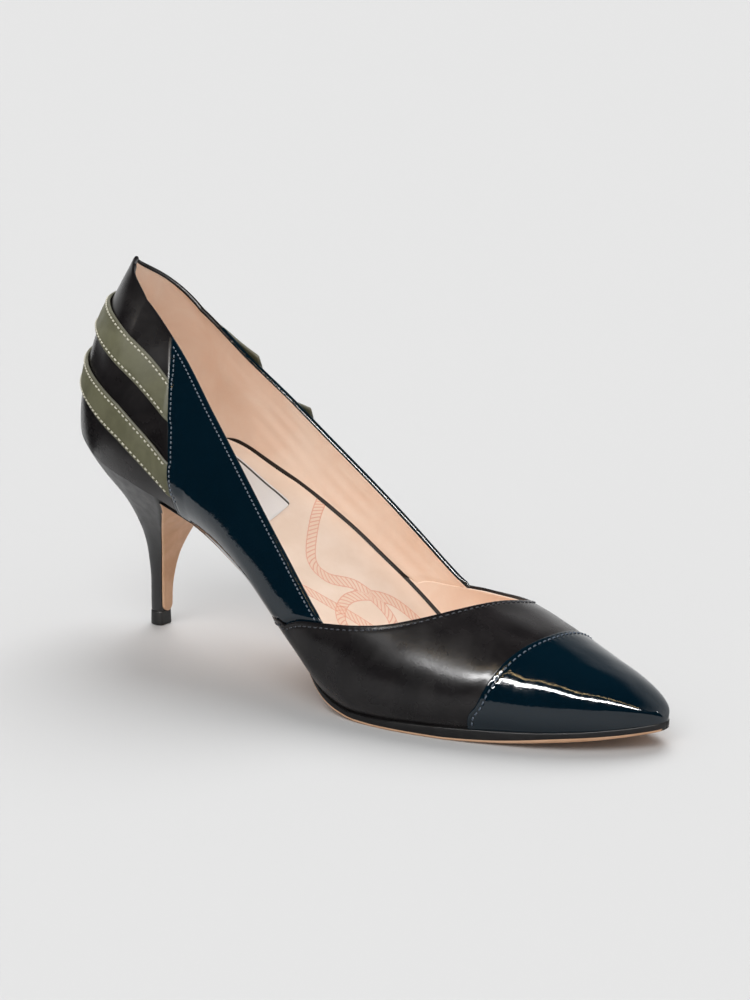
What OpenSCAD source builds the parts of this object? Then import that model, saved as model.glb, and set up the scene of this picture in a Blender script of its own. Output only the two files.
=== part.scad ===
// Pointed-toe pump for the right foot, built up from the last outwards.
// Stations run from the back of the heel (0) to the toe tip, and heights are above the ground.

/* [Last] */
// Length from the back of the heel to the toe tip
shoe_length = 246; // [238:1:254]
// Widest part of the upper, across the ball of the foot
ball_width = 75.6; // [73:0.2:79]

/* [Upper] */
// Thickness of the leather of the upper
leather_t = 0.9; // [0.8:0.05:1.1]
// Thickness of the leather lining
lining_t = 0.7; // [0.6:0.05:0.9]
// Thickness of the counter and the toe puff at their middle
stiffener_t = 0.8; // [0.5:0.1:1]
// Width of the hidden strip where one panel runs under the next
lap_w = 6; // [4:0.5:8]
// Width of an olive band
band_w = 10; // [8:0.5:12]
// Thickness of an olive band
band_t = 1.1; // [0.8:0.1:1.4]

/* [Stitches] */
// Distance from one stitch to the next
stitch_pitch = 2.2; // [2:0.1:4]
// Length of one visible stitch
stitch_len = 1.5; // [1.2:0.1:1.7]
// Thickness of the thread
thread_d = 0.5; // [0.4:0.05:0.7]
// Distance from a stitched edge to its row of stitches
stitch_inset = 1.7; // [1.2:0.1:2.5]

/* [Bottom] */
// Height of the lasted-under layer between the insole board and the outsole
margin_t = 1; // [0.8:0.1:1.2]
// Thickness of the insole board
board_t = 2; // [1.6:0.1:2.4]
// Thickness of the sock
sock_t = 0.8; // [0.6:0.1:1]
// Thickness of the foam pad under the heel
pad_t = 1.5; // [1:0.1:2]
// Lift of the sock at its medial edge, under the arch of the foot
arch_h = 7; // [0:0.5:8]
// Thickness of the outsole through the waist and down the heel breast
outsole_t = 1.8; // [1.4:0.1:2.2]
// Thickness of the steel shank
shank_t = 0.9; // [0.7:0.1:1]
// Width of the steel shank
shank_w = 13; // [10:1:15]

/* [Heel] */
// Station of the middle of the heel tip
tip_x = 32; // [31:0.5:33]
// Width of the heel tip
tip_w = 7; // [6.8:0.1:8]
// Height of the top lift
lift_h = 5.5; // [5:0.5:7]
// Diameter of the steel dowel inside the heel
dowel_d = 4; // [3.6:0.1:4.2]
// Diameter of the top lift's pin
pin_d = 2.4; // [2:0.1:2.6]
// Length of the dowel
dowel_len = 40; // [34:1:41]

/* [Hidden] */

lateral = -1;
medial = 1;
base_length = 246;
base_width = 75.6;
fan_x = 40;
nose_x = 226;
stretch = shoe_length / base_length;
widen = ball_width / base_width;
mid_offset = 3.4;
gap = 0.05;
skived = leather_t / 2;
tiny = 0.3;
upper_color = [0.10, 0.09, 0.09];
patent_color = [0.03, 0.07, 0.13];
olive_color = [0.38, 0.38, 0.27];
lining_color = [0.86, 0.68, 0.53];
sock_color = [0.93, 0.84, 0.75];
tan_color = [0.72, 0.50, 0.34];
board_color = [0.55, 0.42, 0.30];
steel_color = [0.62, 0.63, 0.65];
cream_color = [0.80, 0.77, 0.65];
navy_thread_color = [0.16, 0.20, 0.30];

// ---- The last, as heights and widths along its stations ----

// Height of the feather line, where the upper meets the sole
feather_z = [[0, 82], [20, 71.5], [40, 61.5], [60, 53.5], [80, 46], [100, 34.5], [120, 19.7], [130, 12.6],
    [140, 6.2], [150, 3.2], [160, 3], [175, 3.7], [190, 4.4], [220, 6], [246, 8.5]];
// Half of the greatest width of each cross-section
half_width = [[0, 29], [40, 28.2], [60, 26.2], [80, 28], [120, 34.6], [140, 37.6], [160, 37.8],
    [185, 33.2], [210, 24.6], [230, 16], [246, 9.4]];
// Sideways swing of the centre line
swing = [[0, 0], [60, -0.8], [100, -3], [150, -3.4], [190, -2], [225, 0.5], [246, 6]];
// Height of the ridge over the instep and the toes
crest_z = [[0, 139.4], [20, 137], [40, 129.5], [60, 121], [80, 110.5], [100, 95.5], [120, 79.5],
    [140, 63.5], [160, 48.5], [185, 38.8], [210, 30.8], [230, 22.4], [246, 14.6]];
// Rise of the widest line over the feather line
belly_rise = [[0, 18], [40, 17], [80, 14], [120, 12], [160, 10], [200, 8], [230, 6.5], [246, 5]];
// Width at the feather line as a share of the greatest width
tuck = [[0, 0.82], [40, 0.86], [60, 0.81], [90, 0.78], [105, 0.72], [120, 0.73], [135, 0.86], [150, 0.9],
    [180, 0.93], [246, 0.93]];
// Roundness of the upper half of the cross-section, 1 for an ellipse
roundness = [[0, 1], [80, 1], [120, 0.95], [160, 0.9], [246, 0.85]];
// Reach of the heel behind the fan centre, against height over the feather line
back_reach = [[0, 40], [16, 34.7], [36, 27.5], [55, 17], [60, 15]];
// Height of the topline on the lateral and the medial side
top_lateral = [[0, 137.5], [20, 134], [40, 125], [60, 110], [80, 92], [100, 73], [120, 53], [140, 33],
    [150, 24]];
top_medial = [[0, 137.5], [20, 130], [40, 118], [60, 103], [80, 88.5], [100, 73], [120, 57],
    [150, 30], [162, 21]];
// Back edge of the vamp, against the way round from the lateral to the medial feather line
throat_x = [[-1, 107], [-0.88, 112], [-0.75, 116.5], [-0.6, 120.5], [-0.52, 123], [-0.48, 127],
    [-0.44, 132.5], [-0.4, 139.5], [-0.35, 150], [-0.3, 160], [-0.22, 171], [-0.11, 180], [0, 184.6],
    [0.1, 187.3], [0.21, 184], [0.3, 169], [0.36, 154], [0.41, 142], [0.46, 131.5], [0.52, 124],
    [0.6, 121], [0.75, 116.5], [0.88, 112], [1, 107]];
// Seam between the vamp and the toe cap
cap_x = [[-1, 194], [-0.6, 195.8], [-0.3, 201.8], [0, 207.5], [0.3, 207.5], [0.6, 200], [1, 195]];
// Seam between the back counter and each quarter, against the way up the wall
back_seam_lateral = [[-1, 62], [-0.2, 62.5], [0.3, 60.7], [0.6, 55], [1, 47]];
back_seam_medial = [[-1, 62], [-0.2, 62], [0.2, 58], [0.5, 49], [1, 44]];
// Height of the middle of each band: negative stations are lateral and positive ones medial
band_upper_z = [[-62, 91.5], [-46, 103.5], [-30, 112.5], [0, 118], [30, 111.8], [64, 96.2]];
band_lower_z = [[-62, 65.5], [-48, 77], [-30, 90.5], [0, 99], [30, 96.2], [60, 85.6], [86, 80]];
// Underside of the outsole
sole_z = [[60, 51.6], [80, 44.1], [100, 32.5], [120, 17.6], [130, 10.4], [140, 3.9], [150, 0.6], [160, 0],
    [186, 0], [200, 0.7], [220, 2.6], [246, 5.6]];

// ---- Curves and vectors ----

function rise_rate(p, i) = (p[i + 1][1] - p[i][1]) / (p[i + 1][0] - p[i][0]);

function knot_rate(p, i) =
    i == 0 ? rise_rate(p, 0)
    : i == len(p) - 1 ? rise_rate(p, i - 1)
    : let (before = p[i][0] - p[i - 1][0], after = p[i + 1][0] - p[i][0])
        (rise_rate(p, i - 1) * after + rise_rate(p, i) * before) / (before + after);

function span_of(p, x, i = 0) = i >= len(p) - 2 || x < p[i + 1][0] ? i : span_of(p, x, i + 1);

// Smooth curve through a list of [station, value] pairs, level with its ends outside them
function curve(p, station) =
    let (
        x = min(max(station, p[0][0]), p[len(p) - 1][0]),
        i = span_of(p, x),
        w = p[i + 1][0] - p[i][0],
        t = (x - p[i][0]) / w
    )
    (2 * t^3 - 3 * t^2 + 1) * p[i][1] + (t^3 - 2 * t^2 + t) * w * knot_rate(p, i)
        + (3 * t^2 - 2 * t^3) * p[i + 1][1] + (t^3 - t^2) * w * knot_rate(p, i + 1);

function unit(v) = v / max(norm(v), 1e-9);

function mix(a, b, t) = a + (b - a) * t;

function clamp01(t) = min(max(t, 0), 1);

// Smooth step from 0 at a to 1 at b
function fade(x, a, b) = let (t = clamp01((x - a) / (b - a))) t * t * (3 - 2 * t);

function steps(n) = [for (i = [0:n]) i / n];

// Evenly spread values from a to b
function spread(a, b, n) = [for (t = steps(n)) mix(a, b, t)];

// ---- Surface of the finished upper ----

function nose_share(x) = clamp01((x - nose_x) / (base_length - nose_x));

function nose_width(x) = (1 - nose_share(x)^2.2)^(1 / 2.2);

function nose_height(x) = (1 - nose_share(x)^3)^(1 / 3);

function belly_at(x) = curve(belly_rise, x) * nose_height(x);

function ridge_over_belly(x) =
    (curve(crest_z, x) - curve(feather_z, x)) * nose_height(x) - belly_at(x);

function fan_angle(x) = 90 * clamp01((fan_x - x) / fan_x);

function to_frame(p) = [p.x * stretch - shoe_length / 2, (p.y + mid_offset) * widen, p.z];

// Point of the wall. way runs from -1 at the feather line through 0 at the widest line to 1 at the ridge
function wall(x, way, side) =
    let (
        foot = curve(feather_z, x),
        belly = belly_at(x),
        lean = acos(min(curve(tuck, x), 0.995)),
        turn = way < 0 ? way * lean : way * 90,
        out = way < 0 ? cos(turn) : max(cos(turn), 0)^curve(roundness, x),
        z = foot + (way < 0 ? belly * (1 + sin(turn) / sin(lean))
            : belly + ridge_over_belly(x) * sin(turn)),
        fan = fan_angle(x),
        back = x < fan_x ? fan_x - curve(back_reach, z - foot) * sin(fan) : x,
        across = curve(half_width, x) * out * cos(fan) * nose_width(x)
    )
    to_frame([back, curve(swing, x) + side * across, z]);

// The way up the wall at which it reaches height z
function way_at(x, z) =
    let (rise = z - curve(feather_z, x), belly = belly_at(x), lean = acos(curve(tuck, x)))
    rise < belly ? -asin(clamp01(1 - rise / belly) * sin(lean)) / lean
    : asin(clamp01((rise - belly) / ridge_over_belly(x))) / 90;

function top_z(x, side) = curve(side < 0 ? top_lateral : top_medial, x);

function top_way(x, side) = way_at(x, top_z(x, side));

function side_of(s) = s < 0 ? lateral : medial;

// Point of the forepart. round runs from -1 at the lateral feather line over the ridge to 1
function forepart(x, round) = wall(x, 1 - 2 * abs(round), side_of(round));

// Point of the back part. The sign of the station tells the side, and up runs from 0 to 1 at the topline
function backpart(station, up) =
    let (x = abs(station), side = side_of(station))
    wall(x, mix(-1, top_way(x, side), up), side);

// Station where the vamp's back edge crosses a height up the side, found by halving
function seam_x(up, side, low = 95, high = 158, turns = 12) =
    let (
        x = (low + high) / 2,
        way = mix(-1, top_way(x, side), up),
        short = x < curve(throat_x, side * (1 - way) / 2)
    )
    turns == 0 ? x : seam_x(up, side, short ? x : low, short ? high : x, turns - 1);

// Station of a quarter's back seam at a height up the side
function counter_x(up, side, x = 58, turns = 4) =
    turns == 0 ? x
    : counter_x(up, side, curve(side < 0 ? back_seam_lateral : back_seam_medial,
        mix(-1, top_way(x, side), up)), turns - 1);

// ---- Sheets: grids of points given thickness along their normals ----

function normal_at(g, i, j) =
    let (r = len(g) - 1, c = len(g[0]) - 1)
    unit(cross(g[min(i + 1, r)][j] - g[max(i - 1, 0)][j], g[i][min(j + 1, c)] - g[i][max(j - 1, 0)]));

// The grid moved outwards along its normals by depth(row, column)
function moved(g, depth) =
    [for (i = [0:len(g) - 1]) [for (j = [0:len(g[0]) - 1]) g[i][j] + normal_at(g, i, j) * depth(i, j)]];

function flat_list(g) = [for (row = g) each row];

// Closed solid between an upper grid and a lower grid of the same size
module between(upper, lower) {
    rows = len(upper);
    cols = len(upper[0]);
    count = rows * cols;
    function at(i, j) = i * cols + j;
    function quad(a, b, c, d) = [[a, b, c], [a, c, d]];
    rim = concat(
        [for (j = [0:cols - 1]) at(0, j)],
        [for (i = [1:rows - 1]) at(i, cols - 1)],
        [for (j = [cols - 2:-1:0]) at(rows - 1, j)],
        [for (i = [rows - 2:-1:1]) at(i, 0)]);
    faces = concat(
        [for (i = [0:rows - 2], j = [0:cols - 2])
            each quad(at(i, j), at(i, j + 1), at(i + 1, j + 1), at(i + 1, j))],
        [for (i = [0:rows - 2], j = [0:cols - 2])
            each quad(count + at(i, j), count + at(i + 1, j),
                count + at(i + 1, j + 1), count + at(i, j + 1))],
        [for (k = [0:len(rim) - 1]) let (a = rim[k], b = rim[(k + 1) % len(rim)])
            each quad(a, count + a, count + b, b)]);
    polyhedron(concat(flat_list(upper), flat_list(lower)), faces);
}

// Sheet of leather between two depths, each a function of row and column
module sheet(g, outer, inner) {
    between(moved(g, outer), moved(g, inner));
}

// How much of the stiffeners lies between the upper and the lining here
function stiff_share(x, up) = max(
    fade(x, 74, 56) * fade(up, 0.9, 0.7),
    fade(x, 200, 212));

function lining_depth(x, up) = -leather_t - gap - stiffener_t * stiff_share(x, up);

// ---- Upper panels ----

// Stations from the seam to the tip, closer together round the nose
function to_tip(start, n, end = base_length - 0.004) =
    [for (t = steps(n)) start + (end - start) * sin(90 * t)];

// Ways round the forepart, closest together where the vamp's back edge runs along the sides
function rounds(n) = [for (t = spread(-1, 1, n)) t + 0.1 * sin(360 * abs(t)) * sign(t)];

module vamp() {
    body = 15;
    along = concat(steps(body), [1.01, 1.12]);
    ways = rounds(36);
    under = function (i, round) abs(round) > 0.42 && i < 2;
    g = [for (s = along) [for (round = ways)
        let (a = curve(throat_x, round), b = curve(cap_x, round))
        forepart(s <= 1 ? mix(a, b, s) : b + (s - 1) / 0.12 * lap_w, round)]];
    color(upper_color) sheet(g,
        function (i, j) i <= body ? 0 : -skived - gap,
        function (i, j) under(i, ways[j]) ? -skived : -leather_t);
}

module toe_cap() {
    lap_rows = 1;
    g = [for (i = [0:12]) [for (round = spread(-1, 1, 30))
        let (seam = curve(cap_x, round), past = seam + lap_w + tiny)
        forepart(i == 0 ? seam + gap : i == 1 ? seam + lap_w : to_tip(past, 10)[i - 2], round)]];
    color(patent_color) sheet(g,
        function (i, j) 0.3,
        function (i, j) i <= lap_rows ? -skived : -leather_t);
}

// Side quarter: its front edge runs under the vamp and its back edge laps over the counter
module quarter(side) {
    cols = 16;
    tongue = 2;
    along = concat([-lap_w, -tiny], spread(0, 1, cols - 4));
    g = [for (t = steps(15)) [for (k = [0:len(along) - 1])
        let (
            up = sin(90 * t),
            kk = side < 0 ? k : len(along) - 1 - k,
            front = seam_x(up, side),
            back = counter_x(up, side),
            x = kk < tongue ? front - along[kk] : mix(front, back, along[kk]),
            shown = kk < tongue ? 0.93 : 1
        )
        backpart(side * x, up * shown)]];
    last = len(along) - 1;
    function column(j) = side < 0 ? j : last - j;
    color(patent_color) sheet(g,
        function (i, j) column(j) < tongue ? -skived - gap : 0.25,
        function (i, j) column(j) > last - 2 ? -skived : -leather_t);
}

module quarter_lateral() {
    quarter(lateral);
}

module quarter_medial() {
    quarter(medial);
}

// Back cover of the heel, with a skived strip under each quarter
module back_counter() {
    around = 28;
    g = [for (up = spread(0, 1, 12)) [for (k = [-1:around + 1])
        let (
            near = counter_x(up, lateral),
            far = counter_x(up, medial),
            t = clamp01(k / around),
            station = k < 0 ? -near - lap_w + 0.6 : k > around ? far + lap_w - 0.6
                : mix(-near + gap, far - gap, t)
        )
        backpart(station, up)]];
    color(upper_color) sheet(g,
        function (i, j) j == 0 || j == around + 2 ? -skived - gap : 0,
        function (i, j) -leather_t);
}

// Half of a band's height, upright, so that its width square to its run stays the same
function band_half(path, s) =
    band_w / 2 * sqrt(1 + ((curve(path, s + 1) - curve(path, s - 1)) / 2)^2);

// Point of a band: across runs from -1 at its lower edge to 1 at its upper edge
function band_point(path, s, across) =
    let (x = abs(s)) wall(x, way_at(x, curve(path, s) + across * band_half(path, s)), side_of(s));

// Olive band wrapped round the back of the heel, its medial end lifting off the quarter
module band(path) {
    ends = [path[0][0] + 0.8, path[len(path) - 1][0]];
    stations = spread(ends[0], ends[1], 34);
    g = [for (across = spread(-1, 1, 3)) [for (s = stations) band_point(path, s, across)]];
    function lift(j) = 0.3 + 1.6 * fade(stations[j], ends[1] - 14, ends[1]);
    color(olive_color) sheet(g,
        function (i, j) lift(j) + band_t,
        function (i, j) lift(j));
}

module band_upper() {
    band(band_upper_z);
}

module band_lower() {
    band(band_lower_z);
}

// ---- Linings and stiffeners ----

module vamp_lining() {
    g = [for (i = [0:15]) [for (round = rounds(28))
        let (start = curve(throat_x, round) + 0.4) forepart(to_tip(start, 15, base_length - 2)[i], round)]];
    color(lining_color) sheet(g,
        function (i, j) -leather_t - gap - stiffener_t * fade(i, 4, 7) - 0.02,
        function (i, j) -leather_t - gap - stiffener_t * fade(i, 4, 7) - lining_t);
}

module quarter_lining() {
    around = 42;
    ups = [for (t = steps(11)) 0.995 * sin(90 * t)];
    g = [for (up = ups) [for (k = [0:around])
        backpart(mix(-seam_x(up, lateral) + 0.2, seam_x(up, medial) - 0.2, k / around), up)]];
    function station(j) = mix(-130, 130, j / around);
    color(lining_color) sheet(g,
        function (i, j) lining_depth(abs(station(j)), ups[i]) - 0.02,
        function (i, j) lining_depth(abs(station(j)), ups[i]) - lining_t);
}

module counter_stiffener() {
    around = 22;
    stations = spread(-68, 68, around);
    g = [for (up = spread(0.02, 0.86, 8)) [for (s = stations) backpart(s, up)]];
    function thick(i, j) = 0.15 + (stiffener_t - 0.25)
        * stiff_share(abs(stations[j]), 0.02 + 0.84 * i / 8);
    color(board_color) sheet(g,
        function (i, j) -leather_t - gap,
        function (i, j) -leather_t - gap - thick(i, j));
}

module toe_puff() {
    stations = to_tip(205, 9, base_length - 1);
    g = [for (x = stations) [for (round = spread(-1, 1, 20)) forepart(x, round)]];
    color(board_color) sheet(g,
        function (i, j) -leather_t - gap,
        function (i, j) -leather_t - gap - (stiffener_t - gap) * mix(0.2, 1, fade(i, 0, 3)));
}

// Point of the wall at a distance below the topline
function below_top(station, drop) =
    let (x = abs(station), side = side_of(station)) wall(x, way_at(x, top_z(x, side) - drop), side);

// Narrow tape that keeps the folded topline from stretching
module topline_tape() {
    g = [for (drop = [3.4, 1]) [for (s = spread(-128, 136, 40)) below_top(s, drop)]];
    color(cream_color) sheet(g,
        function (i, j) -leather_t + 0.22,
        function (i, j) -leather_t + 0.02);
}

// ---- Bottom ----

// Height of the feather line straight above or below a distance x from the back of the heel
function bottom_z(x) =
    curve(feather_z, x < fan_x ? fan_x - asin(clamp01((fan_x - x) / fan_x)) / 90 * fan_x : x);

// Point at a height over the feather line, on the wall's face and then inwards by inset
function bottom_edge(x, side, rise, inset) =
    let (
        lean = acos(curve(tuck, x)),
        way = -asin(clamp01(1 - rise / max(belly_at(x), rise + 0.01)) * sin(lean)) / lean,
        p = wall(x, way, side),
        centre = [min(max(p.x, fan_x * stretch - shoe_length / 2), shoe_length / 2 - 12),
            (curve(swing, x) + mid_offset) * widen, p.z],
        moved_in = mix(p, centre, min(inset / max(norm(centre - p), 1e-6), 0.9))
    )
    [moved_in.x, moved_in.y, bottom_z((moved_in.x + shoe_length / 2) / stretch) + rise];

// One row of points across the bottom, from the lateral to the medial edge
function across_row(x, rise, inset, cols) =
    let (a = bottom_edge(x, lateral, rise, inset), b = bottom_edge(x, medial, rise, inset))
    [for (t = steps(cols)) mix(a, b, t)];

// Flat layer of the bottom between two heights over the feather line
module bottom_layer(stations, low, high, inset, cols = 4, extra = function (x) 0) {
    upper = [for (x = stations) [for (p = across_row(x, high, inset, cols)) p + [0, 0, extra(x)]]];
    lower = [for (x = stations) [for (p = across_row(x, high, inset, cols))
        p + [0, 0, low - high + extra(x)]]];
    between(upper, lower);
}

board_low = margin_t;
board_high = margin_t + board_t;
inner_inset = leather_t + stiffener_t + lining_t + 0.5;
rear_stations = [0.8, 3, 7, 12, 18, 25, 33];
front_stations = concat(spread(40, 220, 18), [228, 235, 240, 243.5, 245.4]);
all_stations = concat(rear_stations, front_stations);
function pad_rise(x) = pad_t * fade(x, 76, 58);

module insole_board() {
    color(board_color) difference() {
        bottom_layer(all_stations, board_low, board_high, inner_inset);
        heel_fixings(0.01);
        shank_rivet_row(0.01);
    }
}

// Lift of the sock to the arch of the foot, where t runs from the lateral to the medial edge
function arch_rise(x, t) = arch_h * fade(x, 25, 60) * fade(x, 165, 120) * fade(t, 0.4, 1);

sock_cols = 12;

function sock_row(x, rise) =
    let (row = across_row(x, board_high + sock_t, inner_inset - 0.3, sock_cols))
    [for (i = [0:sock_cols]) row[i] + [0, 0, pad_rise(x) + arch_rise(x, i / sock_cols) + rise]];

// Leather sock, thickened towards the medial edge by its arch cushion
module sock() {
    upper = [for (x = all_stations) sock_row(x, 0)];
    lower = [for (x = all_stations) [for (p = across_row(x, board_high + sock_t, inner_inset - 0.3,
        sock_cols)) p + [0, 0, gap - sock_t + pad_rise(x)]]];
    color(sock_color) between(upper, lower);
}

// Foam pad let in between the board and the sock
module heel_pad() {
    stations = [2, 5, 9, 14, 20, 28, 36, 45, 53, 58];
    upper = [for (x = stations) [for (p = across_row(x, board_high, inner_inset + 3, 4))
        p + [0, 0, pad_t - 0.05]]];
    lower = [for (x = stations) [for (p = across_row(x, board_high, inner_inset + 3, 4))
        p + [0, 0, 0.02]]];
    color(cream_color) difference() {
        between(upper, lower);
        heel_fixings(0.01);
    }
}

// Plain patch on the sock, without lettering
module sock_label() {
    stations = [50, 60, 70, 80];
    function cut(row) = [for (i = [2:sock_cols - 2]) row[i]];
    function front_end(rise) = [for (i = [2:sock_cols - 2])
        mix(sock_row(80, rise)[i], sock_row(90, rise)[i], 0.5)];
    function patch(rise) = concat([for (x = stations) cut(sock_row(x, rise))], [front_end(rise)]);
    color([0.95, 0.95, 0.94]) between(patch(0.35), patch(0.08));
}

// Thin filler inside the lasted-under edge of the forepart
module bottom_filler() {
    stations = concat(spread(140, 220, 8), [228, 234]);
    color(board_color) bottom_layer(stations, gap, margin_t - gap, 9);
}

// Sprung steel strip under the board, from the heel seat to the ball
module shank() {
    stations = spread(22, 136, 14);
    function strip(rise) = [for (x = stations) [for (y = [-1, 1])
        to_frame([x, curve(swing, x) + y * shank_w / 2, bottom_z(x) + rise])]];
    color(steel_color) difference() {
        between(strip(gap + shank_t), strip(gap));
        heel_fixings(0.01);
        shank_rivet_row(0.01);
    }
}

shank_rivets_at = [84, 126];

// Slope of the bottom in degrees, positive where it falls towards the toe
function fall(x) = atan((bottom_z(x - 1) - bottom_z(x + 1)) / 2 / stretch);

// Puts children on the board's underside at a station, square to it
module on_bottom(x, y = 0) {
    translate(to_frame([x, curve(swing, x) + y, bottom_z(x)])) rotate([0, fall(x), 0]) children();
}

module shank_rivet_row(clearance = 0) {
    for (x = shank_rivets_at)
        on_bottom(x) {
            cylinder(r = 1.5 + clearance, h = board_high + 0.2, $fn = 32);
            translate([0, 0, board_high - 0.6]) cylinder(r = 3 + clearance, h = 0.8, $fn = 32);
        }
}

module shank_rivets() {
    color(steel_color) intersection() {
        shank_rivet_row();
        for (x = shank_rivets_at)
            on_bottom(x) translate([0, 0, 0.2]) cylinder(r = 4, h = board_high - 0.3, $fn = 32);
    }
}

// Outsole of leather, carried round the breast line and down the front of the heel
module outsole() {
    stations = concat([245.6, 243.6, 240, 235, 228], spread(220, 76, 19), [71, 67.5]);
    heights = [0.955, 0.925, 0.88, 0.82, 0.74, 0.64, 0.52, 0.4, 0.28, 0.16, 0.06, 0];
    cols = 6;
    // How far the edge stands out beyond the upper: tucked in along the waist
    function edge_out(x) = mix(-1, 0.9, fade(x, 122, 146));
    // Flat underside with a bevel along its edges
    function under_row(x) =
        let (
            a = bottom_edge(x, lateral, 0, 0.4 - edge_out(x)),
            b = bottom_edge(x, medial, 0, 0.4 - edge_out(x))
        )
        [for (t = steps(cols))
            let (p = mix(a, b, mix(0.045, 0.955, t)), edge = t == 0 || t == 1 ? 0.8 : 0)
            [p.x, p.y, max(curve(sole_z, x), 0) + edge * fade(x, 62, 130)]];
    function top_row(x) =
        let (a = bottom_edge(x, lateral, 0, -edge_out(x)), b = bottom_edge(x, medial, 0, -edge_out(x)))
        [for (t = steps(cols)) mix(a, b, t) - [0, 0, 0.02]];
    upper = concat([for (x = stations) top_row(x)],
        [for (h = heights) [for (t = steps(cols)) breast_point(h, t, 0.03)]]);
    lower = concat([for (x = stations) under_row(x)],
        [for (h = heights) [for (t = steps(cols)) breast_point(h, t, outsole_t * 0.7)]]);
    color(tan_color) between(lower, upper);
}

// ---- Heel ----

// Half-round outline of the heel tip, flat towards the breast
module tip_outline(d) {
    intersection() {
        circle(d = d, $fn = 64);
        translate([-d, -d]) square([d + d * 0.36, 2 * d]);
    }
}

module at_tip(z) {
    translate(to_frame([tip_x, 0, z])) children();
}

module top_lift() {
    color([0.05, 0.05, 0.05]) difference() {
        at_tip(0) linear_extrude(lift_h) tip_outline(tip_w);
        at_tip(1.5) cylinder(d = pin_d, h = lift_h, $fn = 48);
    }
}

module top_lift_pin() {
    color(steel_color) at_tip(1.5) cylinder(d = pin_d, h = 15, $fn = 48);
}

module heel_dowel() {
    color(steel_color) difference() {
        at_tip(lift_h) cylinder(d = dowel_d, h = dowel_len, $fn = 48);
        at_tip(lift_h - 1) cylinder(d = pin_d, h = dowel_len - 8, $fn = 48);
    }
}

// Shares of the way out from the tip to the heel seat, against the share of the height
flare_back = [[0, 0], [0.25, 0], [0.5, 0.12], [0.7, 0.47], [0.85, 0.86], [0.95, 0.97], [1, 1]];
flare_front = [[0, 0], [0.25, 0.04], [0.5, 0.2], [0.7, 0.46], [0.85, 0.78], [0.95, 0.95], [1, 1]];
flare_side = [[0, 0], [0.25, 0.03], [0.5, 0.16], [0.7, 0.4], [0.85, 0.69], [0.95, 0.9], [1, 1]];
// How far the middle of the breast stands in front of its corners
breast_bulge = [[0, 0], [0.5, 0.6], [0.7, 1.6], [0.85, 4], [0.95, 7.5], [1, 9.5]];
corner_x = 52;
tip_corner_angle = 136;

// Point of the heel's face. turn runs from -90 at the lateral breast corner over the back to 90
function heel_point(h, turn) =
    let (
        around = 180 - turn / 90 * tip_corner_angle,
        low = to_frame([tip_x + tip_w / 2 * cos(around), tip_w / 2 * sin(around), lift_h]),
        seat = wall(max(corner_x * (1 - cos(turn)), 0.3), -1, side_of(turn)) - [0, 0, 0.1],
        out = mix(curve(flare_back, h), curve(flare_front, h), 1 - cos(turn)),
        spread_out = curve(flare_side, h)
    )
    [mix(low.x, seat.x, out), mix(low.y, seat.y, spread_out), mix(low.z, seat.z, h)];

// Point of the breast, moved forwards by out. t runs from the lateral corner to the medial one
function breast_point(h, t, out) =
    let (
        p = mix(heel_point(h, -90), heel_point(h, 90), t),
        bulge = curve(breast_bulge, h) * (1 - (2 * t - 1)^2),
        drop = curve(feather_z, corner_x) - curve(feather_z, corner_x + bulge + out)
    )
    p + [bulge + out, 0, -drop * h^3];

module heel_block() {
    around = 28;
    breast_cols = 6;
    heights = [0, 0.1, 0.2, 0.3, 0.4, 0.5, 0.58, 0.65, 0.72, 0.78, 0.84, 0.89, 0.94, 1];
    rings = [for (h = heights) concat(
        [for (k = [0:around]) heel_point(h, 90 - 180 * k / around)],
        [for (k = [1:breast_cols - 1]) breast_point(h, k / breast_cols, 0)])];
    color([0.17, 0.17, 0.18]) difference() {
        tower(rings);
        at_tip(lift_h - 1) cylinder(d = dowel_d, h = dowel_len + 1, $fn = 48);
        heel_fixings(0);
    }
}

// Closed solid through a stack of rings, each closed by its own flat end
module tower(rings) {
    n = len(rings[0]);
    m = len(rings);
    function mean(r) = [for (i = [0:2]) let (v = [for (p = r) p[i]]) v * [for (q = v) 1] / n];
    low = mean(rings[0]);
    high = mean(rings[m - 1]);
    function at(i, j) = i * n + (j + n) % n;
    faces = concat(
        [for (i = [0:m - 2], j = [0:n - 1]) each [
            [at(i, j), at(i, j + 1), at(i + 1, j + 1)],
            [at(i, j), at(i + 1, j + 1), at(i + 1, j)]]],
        [for (j = [0:n - 1]) [m * n, at(0, j + 1), at(0, j)]],
        [for (j = [0:n - 1]) [m * n + 1, at(m - 1, j), at(m - 1, j + 1)]]);
    polyhedron(concat(flat_list(rings), [low, high]), faces);
}

screw_x = 38;
nail_places = [[24, -9], [24, 9], [44, -10], [44, 10], [18, 0]];

module heel_screw_shape(clearance = 0) {
    on_bottom(screw_x) {
        translate([0, 0, board_high - 18]) cylinder(r = 2 + clearance, h = 18, $fn = 48);
        translate([0, 0, board_high - 1.4]) cylinder(r = 4 + clearance, h = 1.4, $fn = 48);
    }
}

module heel_nail_shapes(clearance = 0) {
    for (p = nail_places)
        on_bottom(p[0], p[1]) {
            translate([0, 0, board_high - 12]) cylinder(r = 0.8 + clearance, h = 12, $fn = 24);
            translate([0, 0, board_high - 0.6]) cylinder(r = 1.8 + clearance, h = 0.6, $fn = 24);
        }
}

module heel_fixings(clearance = 0) {
    heel_screw_shape(clearance);
    heel_nail_shapes(clearance);
}

module heel_screw() {
    color(steel_color) heel_screw_shape();
}

module heel_nails() {
    color(steel_color) heel_nail_shapes();
}

// ---- Stitches ----

// One stitch lying from a to b, half sunk in the leather
module stitch(a, b) {
    d = b - a;
    translate((a + b) / 2) rotate([0, -asin(d.z / norm(d)), atan2(d.y, d.x)]) rotate([0, 90, 0])
        cylinder(d = thread_d, h = stitch_len, center = true, $fn = 6);
}

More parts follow.
